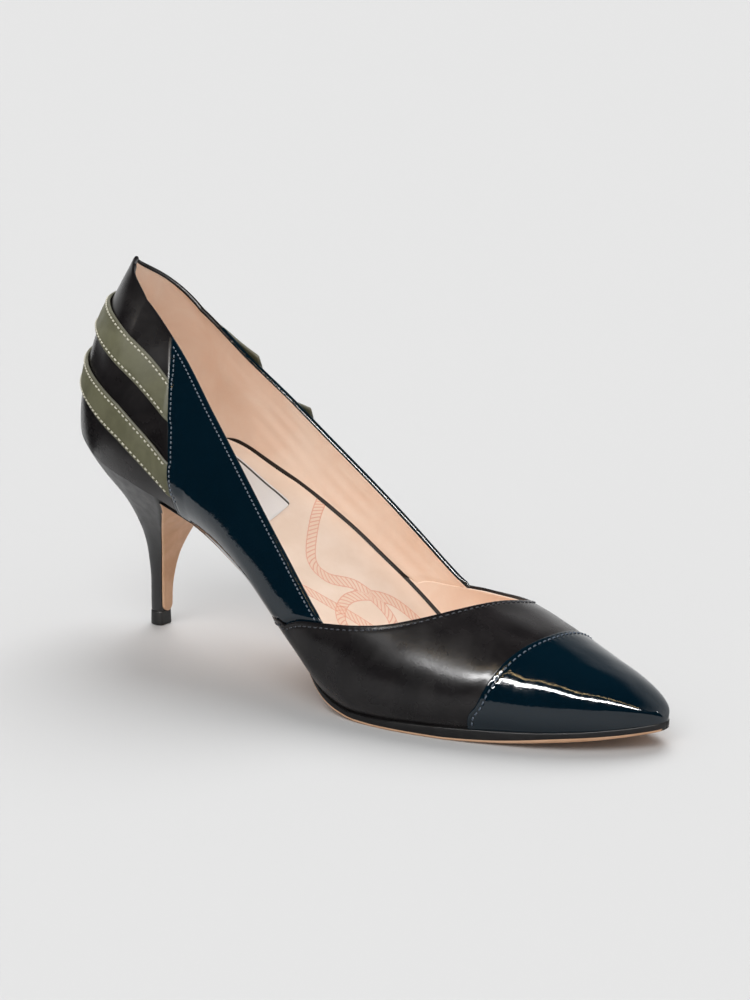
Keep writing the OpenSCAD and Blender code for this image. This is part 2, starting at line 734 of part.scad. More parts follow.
// Length of a run of points up to each of them
function lengths(p) =
    [for (i = 0, sum = 0; i < len(p);
        sum = sum + (i < len(p) - 1 ? norm(p[i + 1] - p[i]) : 0), i = i + 1) sum];

// Point of a run at a distance along it
function point_along(p, sums, distance) =
    let (
        i = min(max(len([for (sum = sums) if (sum <= distance) 1]) - 1, 0), len(p) - 2),
        t = (distance - sums[i]) / max(sums[i + 1] - sums[i], 1e-6)
    )
    mix(p[i], p[i + 1], t);

// Row of evenly spaced stitches along a run of points
module stitch_row(run) {
    sums = lengths(run);
    total = sums[len(sums) - 1];
    count = floor(total / stitch_pitch);
    for (k = [0:count - 1]) {
        middle = (k + 0.5) * total / count;
        stitch(
            point_along(run, sums, middle - stitch_len / 2),
            point_along(run, sums, middle + stitch_len / 2));
    }
}

// Point of the forepart's face moved outwards
function on_forepart(x, round, lift) =
    let (p = forepart(x, round))
    p + lift * unit(cross(forepart(x + 0.5, round) - p, forepart(x, round + 0.01) - p));

// Point of the back part's face, some way below the topline, moved outwards
function on_backpart(station, drop, lift) =
    let (p = below_top(station, drop))
    p + lift * unit(cross(below_top(station, drop - 0.5) - p, below_top(station + 0.5, drop) - p));

module cap_stitches() {
    color(navy_thread_color)
        stitch_row([for (round = spread(-0.97, 0.97, 60))
            on_forepart(curve(cap_x, round) + stitch_inset, round, 0.32)]);
}

module vamp_stitches() {
    color(navy_thread_color)
        stitch_row([for (round = spread(-0.95, 0.95, 80))
            on_forepart(curve(throat_x, round) + stitch_inset, round, 0.02)]);
}

// Topline and back seam of each quarter
module quarter_stitches() {
    color(navy_thread_color)
        for (side = [lateral, medial]) {
            stitch_row([for (x = spread(counter_x(1, side) + 3, seam_x(1, side) - 2, 50))
                on_backpart(side * x, stitch_inset, 0.27)]);
            stitch_row([for (up = spread(0.04, 0.94, 40))
                let (x = counter_x(up, side) + stitch_inset, way = mix(-1, top_way(x, side), up),
                    z = wall(x, way, side).z)
                on_backpart(side * x, top_z(x, side) - z, 0.27)]);
        }
}

module band_stitches() {
    edge = 1 - 2 * 1.2 / band_w;
    color(cream_color)
        for (path = [band_upper_z, band_lower_z], across = [-edge, edge])
            stitch_row([for (s = spread(path[0][0] + 2, path[len(path) - 1][0] - 15, 60))
                let (p = band_point(path, s, across))
                p + (0.32 + band_t) * unit(cross(band_point(path, s, across + 0.1) - p,
                    band_point(path, s + 0.5, across) - p))]);
}

vamp();
toe_cap();
quarter_lateral();
quarter_medial();
back_counter();
band_upper();
band_lower();
vamp_lining();
quarter_lining();
counter_stiffener();
toe_puff();
topline_tape();
outsole();
bottom_filler();
shank();
shank_rivets();
insole_board();
heel_pad();
sock();
sock_label();
heel_block();
heel_dowel();
top_lift();
top_lift_pin();
heel_screw();
heel_nails();
cap_stitches();
vamp_stitches();
quarter_stitches();
band_stitches();
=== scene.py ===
"""Looks of a pointed-toe pump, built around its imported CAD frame.

Shapes are worked out in millimetres from the same last as the CAD, and meshes are made in metres.
Stations run from the back of the heel (0) to the toe tip (246), and heights are above the ground.
"""
import math

import bmesh
import bpy
import numpy as np
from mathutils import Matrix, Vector


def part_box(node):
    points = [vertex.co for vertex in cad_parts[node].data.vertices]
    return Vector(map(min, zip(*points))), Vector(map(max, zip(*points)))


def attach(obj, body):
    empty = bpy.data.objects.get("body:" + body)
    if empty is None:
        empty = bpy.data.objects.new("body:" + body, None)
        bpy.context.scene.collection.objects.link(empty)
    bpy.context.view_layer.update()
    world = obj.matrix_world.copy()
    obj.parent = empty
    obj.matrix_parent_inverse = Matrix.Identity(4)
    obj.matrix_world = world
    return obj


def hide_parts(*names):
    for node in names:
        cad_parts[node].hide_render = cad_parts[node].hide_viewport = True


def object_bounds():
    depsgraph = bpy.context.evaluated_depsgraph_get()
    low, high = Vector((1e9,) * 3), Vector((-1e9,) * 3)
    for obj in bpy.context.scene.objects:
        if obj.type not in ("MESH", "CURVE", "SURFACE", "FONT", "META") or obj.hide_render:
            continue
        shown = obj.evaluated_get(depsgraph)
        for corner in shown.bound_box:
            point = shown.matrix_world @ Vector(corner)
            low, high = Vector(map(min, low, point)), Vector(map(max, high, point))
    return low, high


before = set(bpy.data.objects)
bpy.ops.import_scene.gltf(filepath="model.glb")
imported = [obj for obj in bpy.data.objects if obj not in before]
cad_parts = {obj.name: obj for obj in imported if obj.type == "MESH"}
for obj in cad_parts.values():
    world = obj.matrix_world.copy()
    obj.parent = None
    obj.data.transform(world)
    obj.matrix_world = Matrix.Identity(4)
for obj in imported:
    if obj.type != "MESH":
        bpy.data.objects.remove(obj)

MM = 0.001
cad_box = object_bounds()
FLOOR = cad_box[0].z / MM
HEEL_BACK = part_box("back_counter")[0].x / MM
MIDDLE = (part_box("top_lift")[0].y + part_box("top_lift")[1].y) / 2 / MM
LATERAL, MEDIAL = -1, 1
LENGTH = 246
# Stations: behind FAN the wall is swept round the heel, and ahead of NOSE the toe is rounded
FAN = 40
NOSE = 226
LEATHER = 0.9
LINING = 0.7
STIFFENER = 0.8
LAP = 5.5
LINING_DROP = 1.35
# Stitches as (pitch, length, thickness)
SEAM_STITCH = (2.2, 1.55, 0.55)
QUARTER_STITCH = (1.7, 1.15, 0.5)
BAND_STITCH = (2.05, 1.4, 0.64)
STITCH_INSET = 1.7
BAND_INSET = 1.2
BAND_WIDTH = 10
BAND_THICKNESS = 1.05
SOCK_RISE = 3.8
SOCK_GAP = 0.75
PAD = 1.5
ARCH = 7.0
LABEL_FROM, LABEL_TO = 50, 85
LABEL_HALF = 15
WEAVE = 0.45
ROPE_WIDTH = 3.5
ROPE_TWIST = 1.7
OUTSOLE_THICKNESS = 1.8
TIP_STATION = 32
TIP_WIDTH = 7
LIFT_HEIGHT = 5.5
# Strip under the topline, and the distances from an edge at which its rounding has points
BORDER = 8
NEAR = np.array([0, 0.04, 0.12, 0.24, 0.4, 0.6, 0.85, 1.1, 1.35, 1.55, 1.75, 1.95, 2.2, 2.6, 3.2, 4.1, 5.3,
                 6.6])
UP = np.array([0.0, 0.0, 1.0])
# Sizes of the studio, in metres
FLOOR_REACH = 14.0
BACKDROP_REACH = 1.5
BACKDROP_HIGH = 2.2
SOFTBOX_REACH = 1.5
random = np.random.default_rng(11)

# ---- The last: the same short lists as the CAD ----

FEATHER_Z = [[0, 82], [20, 71.5], [40, 61.5], [60, 53.5], [80, 46], [100, 34.5], [120, 19.7],
             [130, 12.6], [140, 6.2], [150, 3.2], [160, 3], [175, 3.7], [190, 4.4], [220, 6], [246, 8.5]]
HALF_WIDTH = [[0, 29], [40, 28.2], [60, 26.2], [80, 28], [120, 34.6], [140, 37.6], [160, 37.8],
              [185, 33.2], [210, 24.6], [230, 16], [246, 9.4]]
SWING = [[0, 0], [60, -0.8], [100, -3], [150, -3.4], [190, -2], [225, 0.5], [246, 6]]
CREST_Z = [[0, 139.4], [20, 137], [40, 129.5], [60, 121], [80, 110.5], [100, 95.5], [120, 79.5],
           [140, 63.5], [160, 48.5], [185, 38.8], [210, 30.8], [230, 22.4], [246, 14.6]]
BELLY_RISE = [[0, 18], [40, 17], [80, 14], [120, 12], [160, 10], [200, 8], [230, 6.5], [246, 5]]
TUCK = [[0, 0.82], [40, 0.86], [60, 0.81], [90, 0.78], [105, 0.72], [120, 0.73], [135, 0.86],
        [150, 0.9], [180, 0.93], [246, 0.93]]
ROUNDNESS = [[0, 1], [80, 1], [120, 0.95], [160, 0.9], [246, 0.85]]
BACK_REACH = [[0, 40], [16, 34.7], [36, 27.5], [55, 17], [60, 15]]
TOP_LATERAL = [[0, 137.5], [20, 134], [40, 125], [60, 110], [80, 92], [100, 73], [120, 53],
               [140, 33], [150, 24]]
TOP_MEDIAL = [[0, 137.5], [20, 130], [40, 118], [60, 103], [80, 88.5], [100, 73], [120, 57],
              [150, 30], [162, 21]]
THROAT_X = [[-1, 107], [-0.88, 112], [-0.75, 116.5], [-0.6, 120.5], [-0.52, 123], [-0.48, 127],
            [-0.44, 132.5], [-0.4, 139.5], [-0.35, 150], [-0.3, 160], [-0.22, 171], [-0.11, 180],
            [0, 184.6], [0.1, 187.3], [0.21, 184], [0.3, 169], [0.36, 154], [0.41, 142],
            [0.46, 131.5], [0.52, 124], [0.6, 121], [0.75, 116.5], [0.88, 112], [1, 107]]
CAP_X = [[-1, 194], [-0.6, 195.8], [-0.3, 201.8], [0, 207.5], [0.3, 207.5], [0.6, 200], [1, 195]]
BACK_SEAM = {LATERAL: [[-1, 62], [-0.2, 62.5], [0.3, 60.7], [0.6, 55], [1, 47]],
             MEDIAL: [[-1, 62], [-0.2, 62], [0.2, 58], [0.5, 49], [1, 44]]}
BAND_UPPER_Z = [[-62, 91.5], [-46, 103.5], [-30, 112.5], [0, 118], [30, 111.8], [64, 96.2]]
BAND_LOWER_Z = [[-62, 65.5], [-48, 77], [-30, 90.5], [0, 99], [30, 96.2], [60, 85.6], [86, 80]]
SOLE_Z = [[60, 51.6], [80, 44.1], [100, 32.5], [120, 17.6], [130, 10.4], [140, 3.9], [150, 0.6],
          [160, 0], [186, 0], [200, 0.7], [220, 2.6], [246, 5.6]]
FLARE_BACK = [[0, 0], [0.25, 0], [0.5, 0.12], [0.7, 0.47], [0.85, 0.86], [0.95, 0.97], [1, 1]]
FLARE_FRONT = [[0, 0], [0.25, 0.04], [0.5, 0.2], [0.7, 0.46], [0.85, 0.78], [0.95, 0.95], [1, 1]]
FLARE_SIDE = [[0, 0], [0.25, 0.03], [0.5, 0.16], [0.7, 0.4], [0.85, 0.69], [0.95, 0.9], [1, 1]]
BREAST_BULGE = [[0, 0], [0.5, 0.6], [0.7, 1.6], [0.85, 4], [0.95, 7.5], [1, 9.5]]
BREAST_CORNER = 52
TIP_CORNER_ANGLE = math.radians(136)
# Runs of the printed ropes as (station, offset from the centre line)
ROPES = [
    [(88, 30), (95, 16), (103, 5), (110, 5), (118, 13), (131, 15), (139, 6), (134, -4), (123, -3),
     (119, 7), (127, 20), (142, 26)],
    [(94, -30), (103, -18), (116, -19), (131, -12), (146, -15), (160, -6), (176, -12), (192, -8)],
    [(100, -28), (110, -8), (128, 4), (146, 9), (163, 18), (178, 12), (190, 0)],
]

# ---- Curves ----


def curve(pairs, x):
    """Smooth curve through a list of [station, value] pairs, level with its ends outside them."""
    knots = np.asarray(pairs, float)
    X, Y = knots[:, 0], knots[:, 1]
    width = np.diff(X)
    rate = np.diff(Y) / width
    slope = np.empty(len(X))
    slope[0], slope[-1] = rate[0], rate[-1]
    slope[1:-1] = (rate[:-1] * width[1:] + rate[1:] * width[:-1]) / (width[:-1] + width[1:])
    x = np.clip(np.asarray(x, float), X[0], X[-1])
    i = np.clip(np.searchsorted(X, x, side="right") - 1, 0, len(X) - 2)
    t = (x - X[i]) / width[i]
    return ((2 * t**3 - 3 * t**2 + 1) * Y[i] + (t**3 - 2 * t**2 + t) * width[i] * slope[i]
            + (3 * t**2 - 2 * t**3) * Y[i + 1] + (t**3 - t**2) * width[i] * slope[i + 1])


def fade(x, a, b):
    """Smooth step from 0 at a to 1 at b."""
    t = np.clip((np.asarray(x, float) - a) / (b - a), 0, 1)
    return t * t * (3 - 2 * t)


def bump(x, centre, width):
    """Bell of height 1."""
    return np.exp(-((np.asarray(x, float) - centre) / width) ** 2)


def unit(v):
    return v / np.maximum(np.linalg.norm(v, axis=-1, keepdims=True), 1e-12)


def mix(a, b, t):
    return a + (b - a) * t


def run_length(points):
    """Length along a run of points up to each of them."""
    return np.concatenate([[0], np.cumsum(np.linalg.norm(np.diff(points, axis=0), axis=-1))])


def at_length(where, total, values):
    """Values at these lengths along a run, out of the values at its points."""
    return np.stack([np.interp(where, total, column) for column in values.T], -1)


# ---- Surface of the finished upper ----


def nose(x):
    """How far the toe's rounding draws the width and the height in, as shares."""
    t = np.clip((x - NOSE) / (LENGTH - NOSE), 0, 1)
    return (1 - t**2.2) ** (1 / 2.2), (1 - t**3) ** (1 / 3)


def section(x):
    """Height of the feather line, rise of the belly over it, the wall's lean there, rise of the ridge."""
    foot, low = curve(FEATHER_Z, x), nose(x)[1]
    belly = curve(BELLY_RISE, x) * low
    return foot, belly, np.arccos(curve(TUCK, x)), (curve(CREST_Z, x) - foot) * low - belly


def wall(x, way, side):
    """Points of the wall. way runs from -1 at the feather line through 0 to 1 at the ridge."""
    x, way, side = np.broadcast_arrays(np.asarray(x, float), way, side)
    foot, belly, lean, ridge = section(x)
    turn = np.where(way < 0, way * lean, way * np.pi / 2)
    out = np.where(way < 0, np.cos(turn), np.maximum(np.cos(turn), 0) ** curve(ROUNDNESS, x))
    z = foot + np.where(way < 0, belly * (1 + np.sin(turn) / np.sin(lean)),
                        belly + ridge * np.sin(turn))
    fan = np.pi / 2 * np.clip((FAN - x) / FAN, 0, 1)
    along = np.where(x < FAN, FAN - curve(BACK_REACH, z - foot) * np.sin(fan), x)
    across = curve(SWING, x) + side * curve(HALF_WIDTH, x) * out * np.cos(fan) * nose(x)[0]
    return np.stack([along + HEEL_BACK, across + MIDDLE, z], -1)


def way_at(x, z):
    """The way up the wall at which it reaches height z."""
    foot, belly, lean, ridge = section(x)
    rise = z - foot
    below = -np.arcsin(np.clip(1 - rise / belly, 0, 1) * np.sin(lean)) / lean
    above = np.arcsin(np.clip((rise - belly) / ridge, 0, 1)) / (np.pi / 2)
    return np.where(rise < belly, below, above)


def side_of(s):
    """Side of a station or an r with a sign."""
    return np.where(np.asarray(s) < 0, LATERAL, MEDIAL)


def fore(x, r):
    """Point of the forepart. r runs from -1 at the lateral feather line over the ridge to 1."""
    return wall(x, 1 - 2 * np.abs(r), side_of(r))


def rear(s, way):
    """Point of the back part. The sign of the station tells the side."""
    return wall(np.abs(s), way, side_of(s))


def fore_normal(x, r):
    """Outward directions of the skin of the forepart."""
    return unit(np.cross(fore(x + 0.05, r) - fore(x - 0.05, r),
                         fore(x, r + 0.004) - fore(x, r - 0.004)))


def rear_normal(s, way):
    """Outward directions of the skin of the back part."""
    return unit(np.cross(rear(s, way + 0.004) - rear(s, way - 0.004),
                         rear(s + 0.1, way) - rear(s - 0.1, way)))


def rear_at(s, z):
    """Points of the back part at these stations and heights, and the skin's directions there."""
    way = way_at(np.abs(s), z)
    return rear(s, way), rear_normal(s, way)


def top_z(s):
    """Height of the topline."""
    x = np.abs(s)
    return np.where(np.asarray(s) < 0, curve(TOP_LATERAL, x), curve(TOP_MEDIAL, x))


def border_rows(low_rows, top_drop=0):
    """Rows up the side, as columns: share of the way to the border strip, drop below the topline."""
    drops = np.append(NEAR, BORDER - 0.5)[::-1]
    drops = np.append(drops[drops > top_drop], top_drop)
    share = np.append(np.linspace(0, 1, low_rows), np.ones(len(drops)))
    return share[:, None], np.append(np.full(low_rows, float(BORDER)), drops)[:, None]


def row_z(s, share, drop):
    """Heights of the rows up the side."""
    foot = curve(FEATHER_Z, np.abs(s))
    return foot + (top_z(s) - BORDER - foot) * share + BORDER - drop


def lowered(s, z, share):
    """Heights brought nearer to the feather line by a share."""
    foot = curve(FEATHER_Z, np.abs(s))
    return foot + (z - foot) * (1 - share)


def back_seam(side, share, drop):
    """Station of a quarter's back seam in each row."""
    x = np.full(share.shape, 58.0)
    for _ in range(8):
        x = curve(BACK_SEAM[side], way_at(x, row_z(side * x, share, drop)))
    return x


def front_seam(side, share, drop):
    """Station where the vamp's back edge crosses each row."""
    low, high = np.full(share.shape, 95.0), np.full(share.shape, 158.0)
    for _ in range(30):
        x = (low + high) / 2
        way = way_at(x, row_z(side * x, share, drop))
        short = x < curve(THROAT_X, side * (1 - way) / 2)
        low, high = np.where(short, x, low), np.where(short, high, x)
    return (low + high) / 2


def distance_to(points, line):
    """Distance of each point from a polyline, and the length along it to the nearest place."""
    flat = points.reshape(-1, 3)
    a, d = line[:-1], np.diff(line, axis=0)
    square = np.maximum((d**2).sum(-1), 1e-12)
    run = np.concatenate([[0], np.cumsum(np.sqrt(square))])
    far, along = np.empty(len(flat)), np.empty(len(flat))
    for k in range(0, len(flat), 2000):
        p = flat[k:k + 2000, None, :] - a
        t = np.clip((p * d).sum(-1) / square, 0, 1)
        gap = ((p - t[..., None] * d) ** 2).sum(-1)
        best = gap.argmin(1)
        rows = np.arange(len(best))
        far[k:k + 2000] = np.sqrt(gap[rows, best])
        along[k:k + 2000] = run[best] + t[rows, best] * (run[best + 1] - run[best])
    return far.reshape(points.shape[:-1]), along.reshape(points.shape[:-1])


def evenly(points, count):
    """Positions, as fractions of the list's index, of evenly spaced points along a run."""
    run = run_length(points)
    return np.interp(np.linspace(0, run[-1], count), run, np.linspace(0, 1, len(points)))


def rolled(top, bottom, distance):
    """Depths of the two faces of a sheet whose edge is folded round."""
    radius = (top - bottom) / 2
    k = np.clip(distance / np.maximum(radius, 0.05), 0, 1)
    swell = np.sqrt(1 - (1 - k) ** 2)
    return (top + bottom) / 2 + radius * swell, (top + bottom) / 2 - radius * swell


def seam_dimples(distance, along):
    """Shallow groove under a row of stitches, with the leather puckered between them."""
    return (-0.11 * bump(distance, STITCH_INSET, 0.45)
            + 0.045 * np.cos(2 * np.pi * along / SEAM_STITCH[0]) * bump(distance, STITCH_INSET, 1.1))


def ripple(points, wave, height, seed, count=9):
    """Uneven skin: a sum of sines in seeded directions."""
    source = np.random.default_rng(seed)
    total = np.zeros(points.shape[:-1])
    for _ in range(count):
        way = unit(source.normal(size=3))
        length = wave * source.uniform(0.6, 1.6)
        total += np.sin(points @ way * 2 * np.pi / length + source.uniform(0, 6.28))
    return height * total / math.sqrt(count)


# ---- Materials ----


class Look:
    """A node material, put together by short calls. Lengths are in millimetres."""

    def __init__(self, name, **constants):
        self.material = bpy.data.materials.new(name)
        self.material.use_nodes = True
        self.tree = self.material.node_tree
        self.shader = self.tree.nodes["Principled BSDF"]
        self.place = self.tree.nodes.new("ShaderNodeTexCoord").outputs["Object"]
        self.height = None
        for key, value in constants.items():
            self.set(key.replace("_", " "), value)

    def put(self, socket, value):
        if isinstance(value, bpy.types.NodeSocket):
            self.tree.links.new(value, socket)
        elif socket.type == "RGBA" and len(value) == 3:
            socket.default_value = (*value, 1)
        else:
            socket.default_value = value

    def set(self, name, value):
        self.put(self.shader.inputs[name], value)

    def node(self, kind, inputs, **settings):
        made = self.tree.nodes.new("ShaderNode" + kind)
        for key, value in settings.items():
            setattr(made, key, value)
        for key, value in inputs.items():
            self.put(made.inputs[key], value)
        return made

    def math(self, operation, a, b=0.0, clamp=False):
        return self.node("Math", {0: a, 1: b}, operation=operation, use_clamp=clamp).outputs[0]

    def noise(self, size, detail=3, rough=0.55, stretch=(1, 1, 1), twist=0):
        place = self.node("Mapping", {"Vector": self.place, "Scale": stretch}).outputs[0]
        return self.node("TexNoise", {"Vector": place, "Scale": 1000 / size, "Detail": detail,
                                      "Roughness": rough, "Distortion": twist}).outputs["Fac"]

    def cells(self, size):
        return self.node("TexVoronoi", {"Vector": self.place, "Scale": 1000 / size}).outputs["Distance"]

    def band(self, value, low, high, to_low=0.0, to_high=1.0):
        return self.node("MapRange", {"Value": value, "From Min": low, "From Max": high,
                                      "To Min": to_low, "To Max": to_high},
                         interpolation_type="SMOOTHSTEP").outputs[0]

    def blend(self, share, a, b):
        made = self.node("Mix", {0: share}, data_type="RGBA")
        self.put(made.inputs[6], a)
        self.put(made.inputs[7], b)
        return made.outputs[2]

    def inverse(self, value):
        return self.math("SUBTRACT", 1.0, value)

    def tint(self, share, a, b):
        self.set("Base Color", self.blend(share, a, b))

    def roughen(self, noise, smooth, rough, low=0.3, high=0.7):
        """Roughness that wanders between two values as the noise goes from low to high."""
        self.set("Roughness", self.band(noise, low, high, smooth, rough))

    def held(self, name):
        """A number stored at the mesh's points."""
        return self.node("Attribute", {}, attribute_name=name, attribute_type="GEOMETRY").outputs["Fac"]

    def raise_by(self, value, depth):
        """Adds relief of this depth in millimetres."""
        part = self.math("MULTIPLY", value, depth * MM)
        self.height = part if self.height is None else self.math("ADD", self.height, part)

    def done(self, strength=1.0):
        if self.height is not None:
            made = self.node("Bump", {"Height": self.height, "Strength": strength, "Distance": 1.0})
            self.set("Normal", made.outputs[0])
        return self.material


def grain(look, size, depth):
    """Leather grain: small cells with finer noise between them."""
    look.raise_by(look.cells(size), depth)
    look.raise_by(look.noise(size * 0.45, 4), depth * 0.7)
    look.raise_by(look.noise(size * 9), depth * 3)


def dark_leather():
    look = Look("dark_leather", Specular_IOR_Level=0.28)
    cloud = look.band(look.noise(16, 5, 0.62, twist=0.6), 0.38, 0.66)
    fine = look.noise(2.2, 4)
    base = look.blend(cloud, (0.0080, 0.0070, 0.0078), (0.0175, 0.0155, 0.0160))
    base = look.blend(look.math("MULTIPLY", fine, 0.35), base, (0.012, 0.0095, 0.0095))
    look.tint(look.band(look.held("edge"), 0.3, 2.4), (0.008, 0.007, 0.008), base)
    look.roughen(look.noise(14, 4), 0.21, 0.36, 0.25, 0.75)
    grain(look, 0.9, 0.012)
    look.raise_by(look.noise(7, 4, stretch=(0.5, 1, 1)), 0.09)
    return look.done(0.8)


def patent():
    look = Look("patent", Specular_IOR_Level=0.5)
    look.tint(look.noise(30), (0.0010, 0.0078, 0.0145), (0.0020, 0.0115, 0.0205))
    look.roughen(look.noise(3, 4), 0.045, 0.11, 0.35, 0.75)
    look.raise_by(look.noise(1.3), 0.042)
    look.raise_by(look.noise(5, 2, 0.4), 0.05)
    return look.done(0.8)


def olive_leather():
    look = Look("olive_leather", Specular_IOR_Level=0.35)
    cloud = look.band(look.noise(11, 4, 0.6, twist=0.4), 0.3, 0.7)
    base = look.blend(cloud, (0.112, 0.109, 0.058), (0.152, 0.148, 0.081))
    look.tint(look.band(look.held("edge"), 0.15, 0.9), (0.15, 0.145, 0.102), base)
    look.roughen(look.noise(4, 4), 0.46, 0.62)
    grain(look, 0.7, 0.02)
    return look.done(0.8)


def lining_leather():
    look = Look("lining_leather", Specular_IOR_Level=0.25)
    cloud = look.band(look.noise(18, 5, 0.6, twist=0.5), 0.3, 0.7)
    base = look.blend(cloud, (0.92, 0.71, 0.57), (0.96, 0.79, 0.66))
    # Painted shade: the lining turns near-black just over the sock, in the crevice along the sock's edge.
    look.tint(look.band(look.held("over_sock"), 0.1, 0.4), (0.02, 0.013, 0.009), base)
    look.roughen(look.noise(3), 0.5, 0.66)
    grain(look, 0.8, 0.02)
    return look.done(0.9)


def sock_leather():
    """Pale leather with a print of twisted ropes, drawn from the held distances to their runs."""
    look = Look("sock_leather", Specular_IOR_Level=0.25)
    cloud = look.band(look.noise(14, 5, 0.6), 0.3, 0.7)
    shade = look.blend(cloud, (0.88, 0.715, 0.585), (0.95, 0.80, 0.68))
    fuzz = look.math("MULTIPLY", look.math("SUBTRACT", look.noise(0.8), 0.5), 0.3)
    ink = look.blend(look.noise(1.2), (0.70, 0.27, 0.17), (0.86, 0.45, 0.32))
    half = ROPE_WIDTH / 2
    for k in range(len(ROPES)):
        off = look.math("ADD", look.held(f"rope{k}_off"), fuzz)
        inside = look.inverse(look.band(off, half, half + 0.12))
        turn = look.math("FRACT", look.held(f"rope{k}_lay"))
        strand = look.math("ABSOLUTE", look.math("SUBTRACT", turn, 0.5))
        stroke = look.inverse(look.band(strand, 0.08, 0.2))
        rim = look.band(off, half - 0.34, half - 0.2)
        line = look.math("MULTIPLY", look.math("MAXIMUM", stroke, rim), inside, clamp=True)
        rope = look.blend(0.45, shade, (0.90, 0.58, 0.43))
        shade = look.blend(look.math("MULTIPLY", inside, 0.75), shade, rope)
        shade = look.blend(look.math("MULTIPLY", line, 0.72), shade, ink)
    look.set("Base Color", shade)
    look.roughen(look.noise(3), 0.5, 0.65)
    grain(look, 0.8, 0.018)
    return look.done(0.8)


def label_cloth():
    """White weave, with painted shade in its hollows, and a thin painted shadow line near the medial edge.
    """
    look = Look("label_cloth", Specular_IOR_Level=0.3, Roughness=0.7, Sheen_Weight=0.15)
    across, along = look.held("label_across"), look.held("label_along")
    waves = [look.math("SINE", look.math("MULTIPLY", way, 2 * math.pi / WEAVE)) for way in (across, along)]
    weave = look.math("MULTIPLY", *waves)
    # Painted shade: the weave is darker where its relief is low, in the hollows between the threads.
    base = look.blend(look.band(weave, -1, 1), (0.84, 0.84, 0.84), (0.92, 0.92, 0.92))
    # Painted shadow: a thin near-black line just inside the label's medial edge.
    off_shadow_line = look.math("ABSOLUTE", look.math("SUBTRACT", across, LABEL_HALF - 1.1))
    look.tint(look.inverse(look.band(off_shadow_line, 0.3, 0.45)), base, (0.02, 0.02, 0.02))
    look.raise_by(weave, 0.03)
    return look.done()


def tan_sole():
    look = Look("sole_leather", Specular_IOR_Level=0.35)
    cloud = look.band(look.noise(12, 5, 0.6, stretch=(0.4, 1, 1)), 0.3, 0.7)
    look.tint(cloud, (0.59, 0.335, 0.19), (0.74, 0.46, 0.29))
    look.roughen(look.noise(3, 4), 0.36, 0.52)
    look.raise_by(look.noise(0.6, 4, stretch=(0.25, 1, 1)), 0.03)
    look.raise_by(look.noise(6, 4), 0.04)
    return look.done(0.8)


def painted_edge():
    look = Look("painted_edge", Specular_IOR_Level=0.25)
    look.tint(look.noise(5, 4), (0.006, 0.006, 0.007), (0.017, 0.016, 0.016))
    look.roughen(look.noise(2, 4), 0.3, 0.5)
    look.raise_by(look.noise(1.4, 4, stretch=(1, 1, 0.3)), 0.05)
    return look.done(0.8)


def heel_cover():
    look = Look("heel_cover", Specular_IOR_Level=0.45)
    look.tint(look.noise(9, 4), (0.020, 0.020, 0.021), (0.034, 0.034, 0.035))
    look.roughen(look.noise(4, 4), 0.36, 0.48)
    grain(look, 0.7, 0.012)
    return look.done(0.8)


def plain(name, dark, pale, size, rough, depth, metallic=0.0, stretch=(1, 1, 1)):
    """A simple mottled surface for what lies inside or is small."""
    look = Look(name, Metallic=metallic, Specular_IOR_Level=0.4)
    look.tint(look.noise(size, 4, stretch=stretch), dark, pale)
    look.roughen(look.noise(size / 3, stretch=stretch), rough - 0.08, rough + 0.08)
    look.raise_by(look.noise(size / 6, 4, stretch=stretch), depth)
    return look.done()


def thread(name, dark, pale):
    """Waxed thread, its plies shown by slanting stripes of relief, with painted shade in the grooves
    between them.
    """
    look = Look(name, Specular_IOR_Level=0.45, Roughness=0.5)
    stripe = look.math("SINE", look.math("MULTIPLY", look.held("ply"), 2 * math.pi))
    # Painted shade: the stripes are darker where the ply relief is low, in the grooves between the plies.
    look.tint(look.band(stripe, -1, 1), dark, pale)
    look.raise_by(stripe, 0.03)
    return look.done()


# ---- Meshes ----


def link(name, data):
    """An object in the scene that shows this data."""
    made = bpy.data.objects.new(name, data)
    bpy.context.scene.collection.objects.link(made)
    return made


def add_piece(name, points, faces, materials, nodes, face_slots=None, attributes=None, sharp=50):
    """A smooth piece in millimetres that rides on the body and replaces CAD nodes."""
    mesh = bpy.data.meshes.new(name)
    places = (np.asarray(points).reshape(-1, 3) * MM).tolist()
    mesh.from_pydata(places, [], [list(map(int, face)) for face in faces])
    for key, values in (attributes or {}).items():
        layer = mesh.attributes.new(key, "FLOAT", "POINT")
        layer.data.foreach_set("value", np.ascontiguousarray(values, np.float32).ravel())
    for material in materials:
        mesh.materials.append(material)
    if face_slots is not None:
        mesh.polygons.foreach_set("material_index", np.asarray(face_slots, np.int32))
    work = bmesh.new()
    work.from_mesh(mesh)
    bmesh.ops.remove_doubles(work, verts=work.verts, dist=2e-6)
    bmesh.ops.dissolve_degenerate(work, dist=1e-7, edges=work.edges)
    bmesh.ops.recalc_face_normals(work, faces=work.faces)
    for face in work.faces:
        face.smooth = True
    work.to_mesh(mesh)
    work.free()
    mesh.set_sharp_from_angle(angle=math.radians(sharp))
    piece = link(name, mesh)
    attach(piece, "root")
    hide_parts(*nodes)
    return piece


def quads(index):
    """Faces of a grid of point numbers."""
    return np.stack([index[:-1, :-1], index[:-1, 1:], index[1:, 1:], index[1:, :-1]], -1).reshape(-1, 4)


def tube_faces(rows, cols):
    """Faces of a tube through rings of points, with a fan at each end to one more point."""
    index = np.arange(rows * cols).reshape(rows, cols)
    index = np.concatenate([index, index[:, :1]], 1)
    fans = [[rows * cols + end, index[-end, j], index[-end, j + 1]] for end in (0, 1) for j in range(cols)]
    return quads(index).tolist() + fans


def moved(faces, start):
    return [[i + start for i in face] for face in faces]


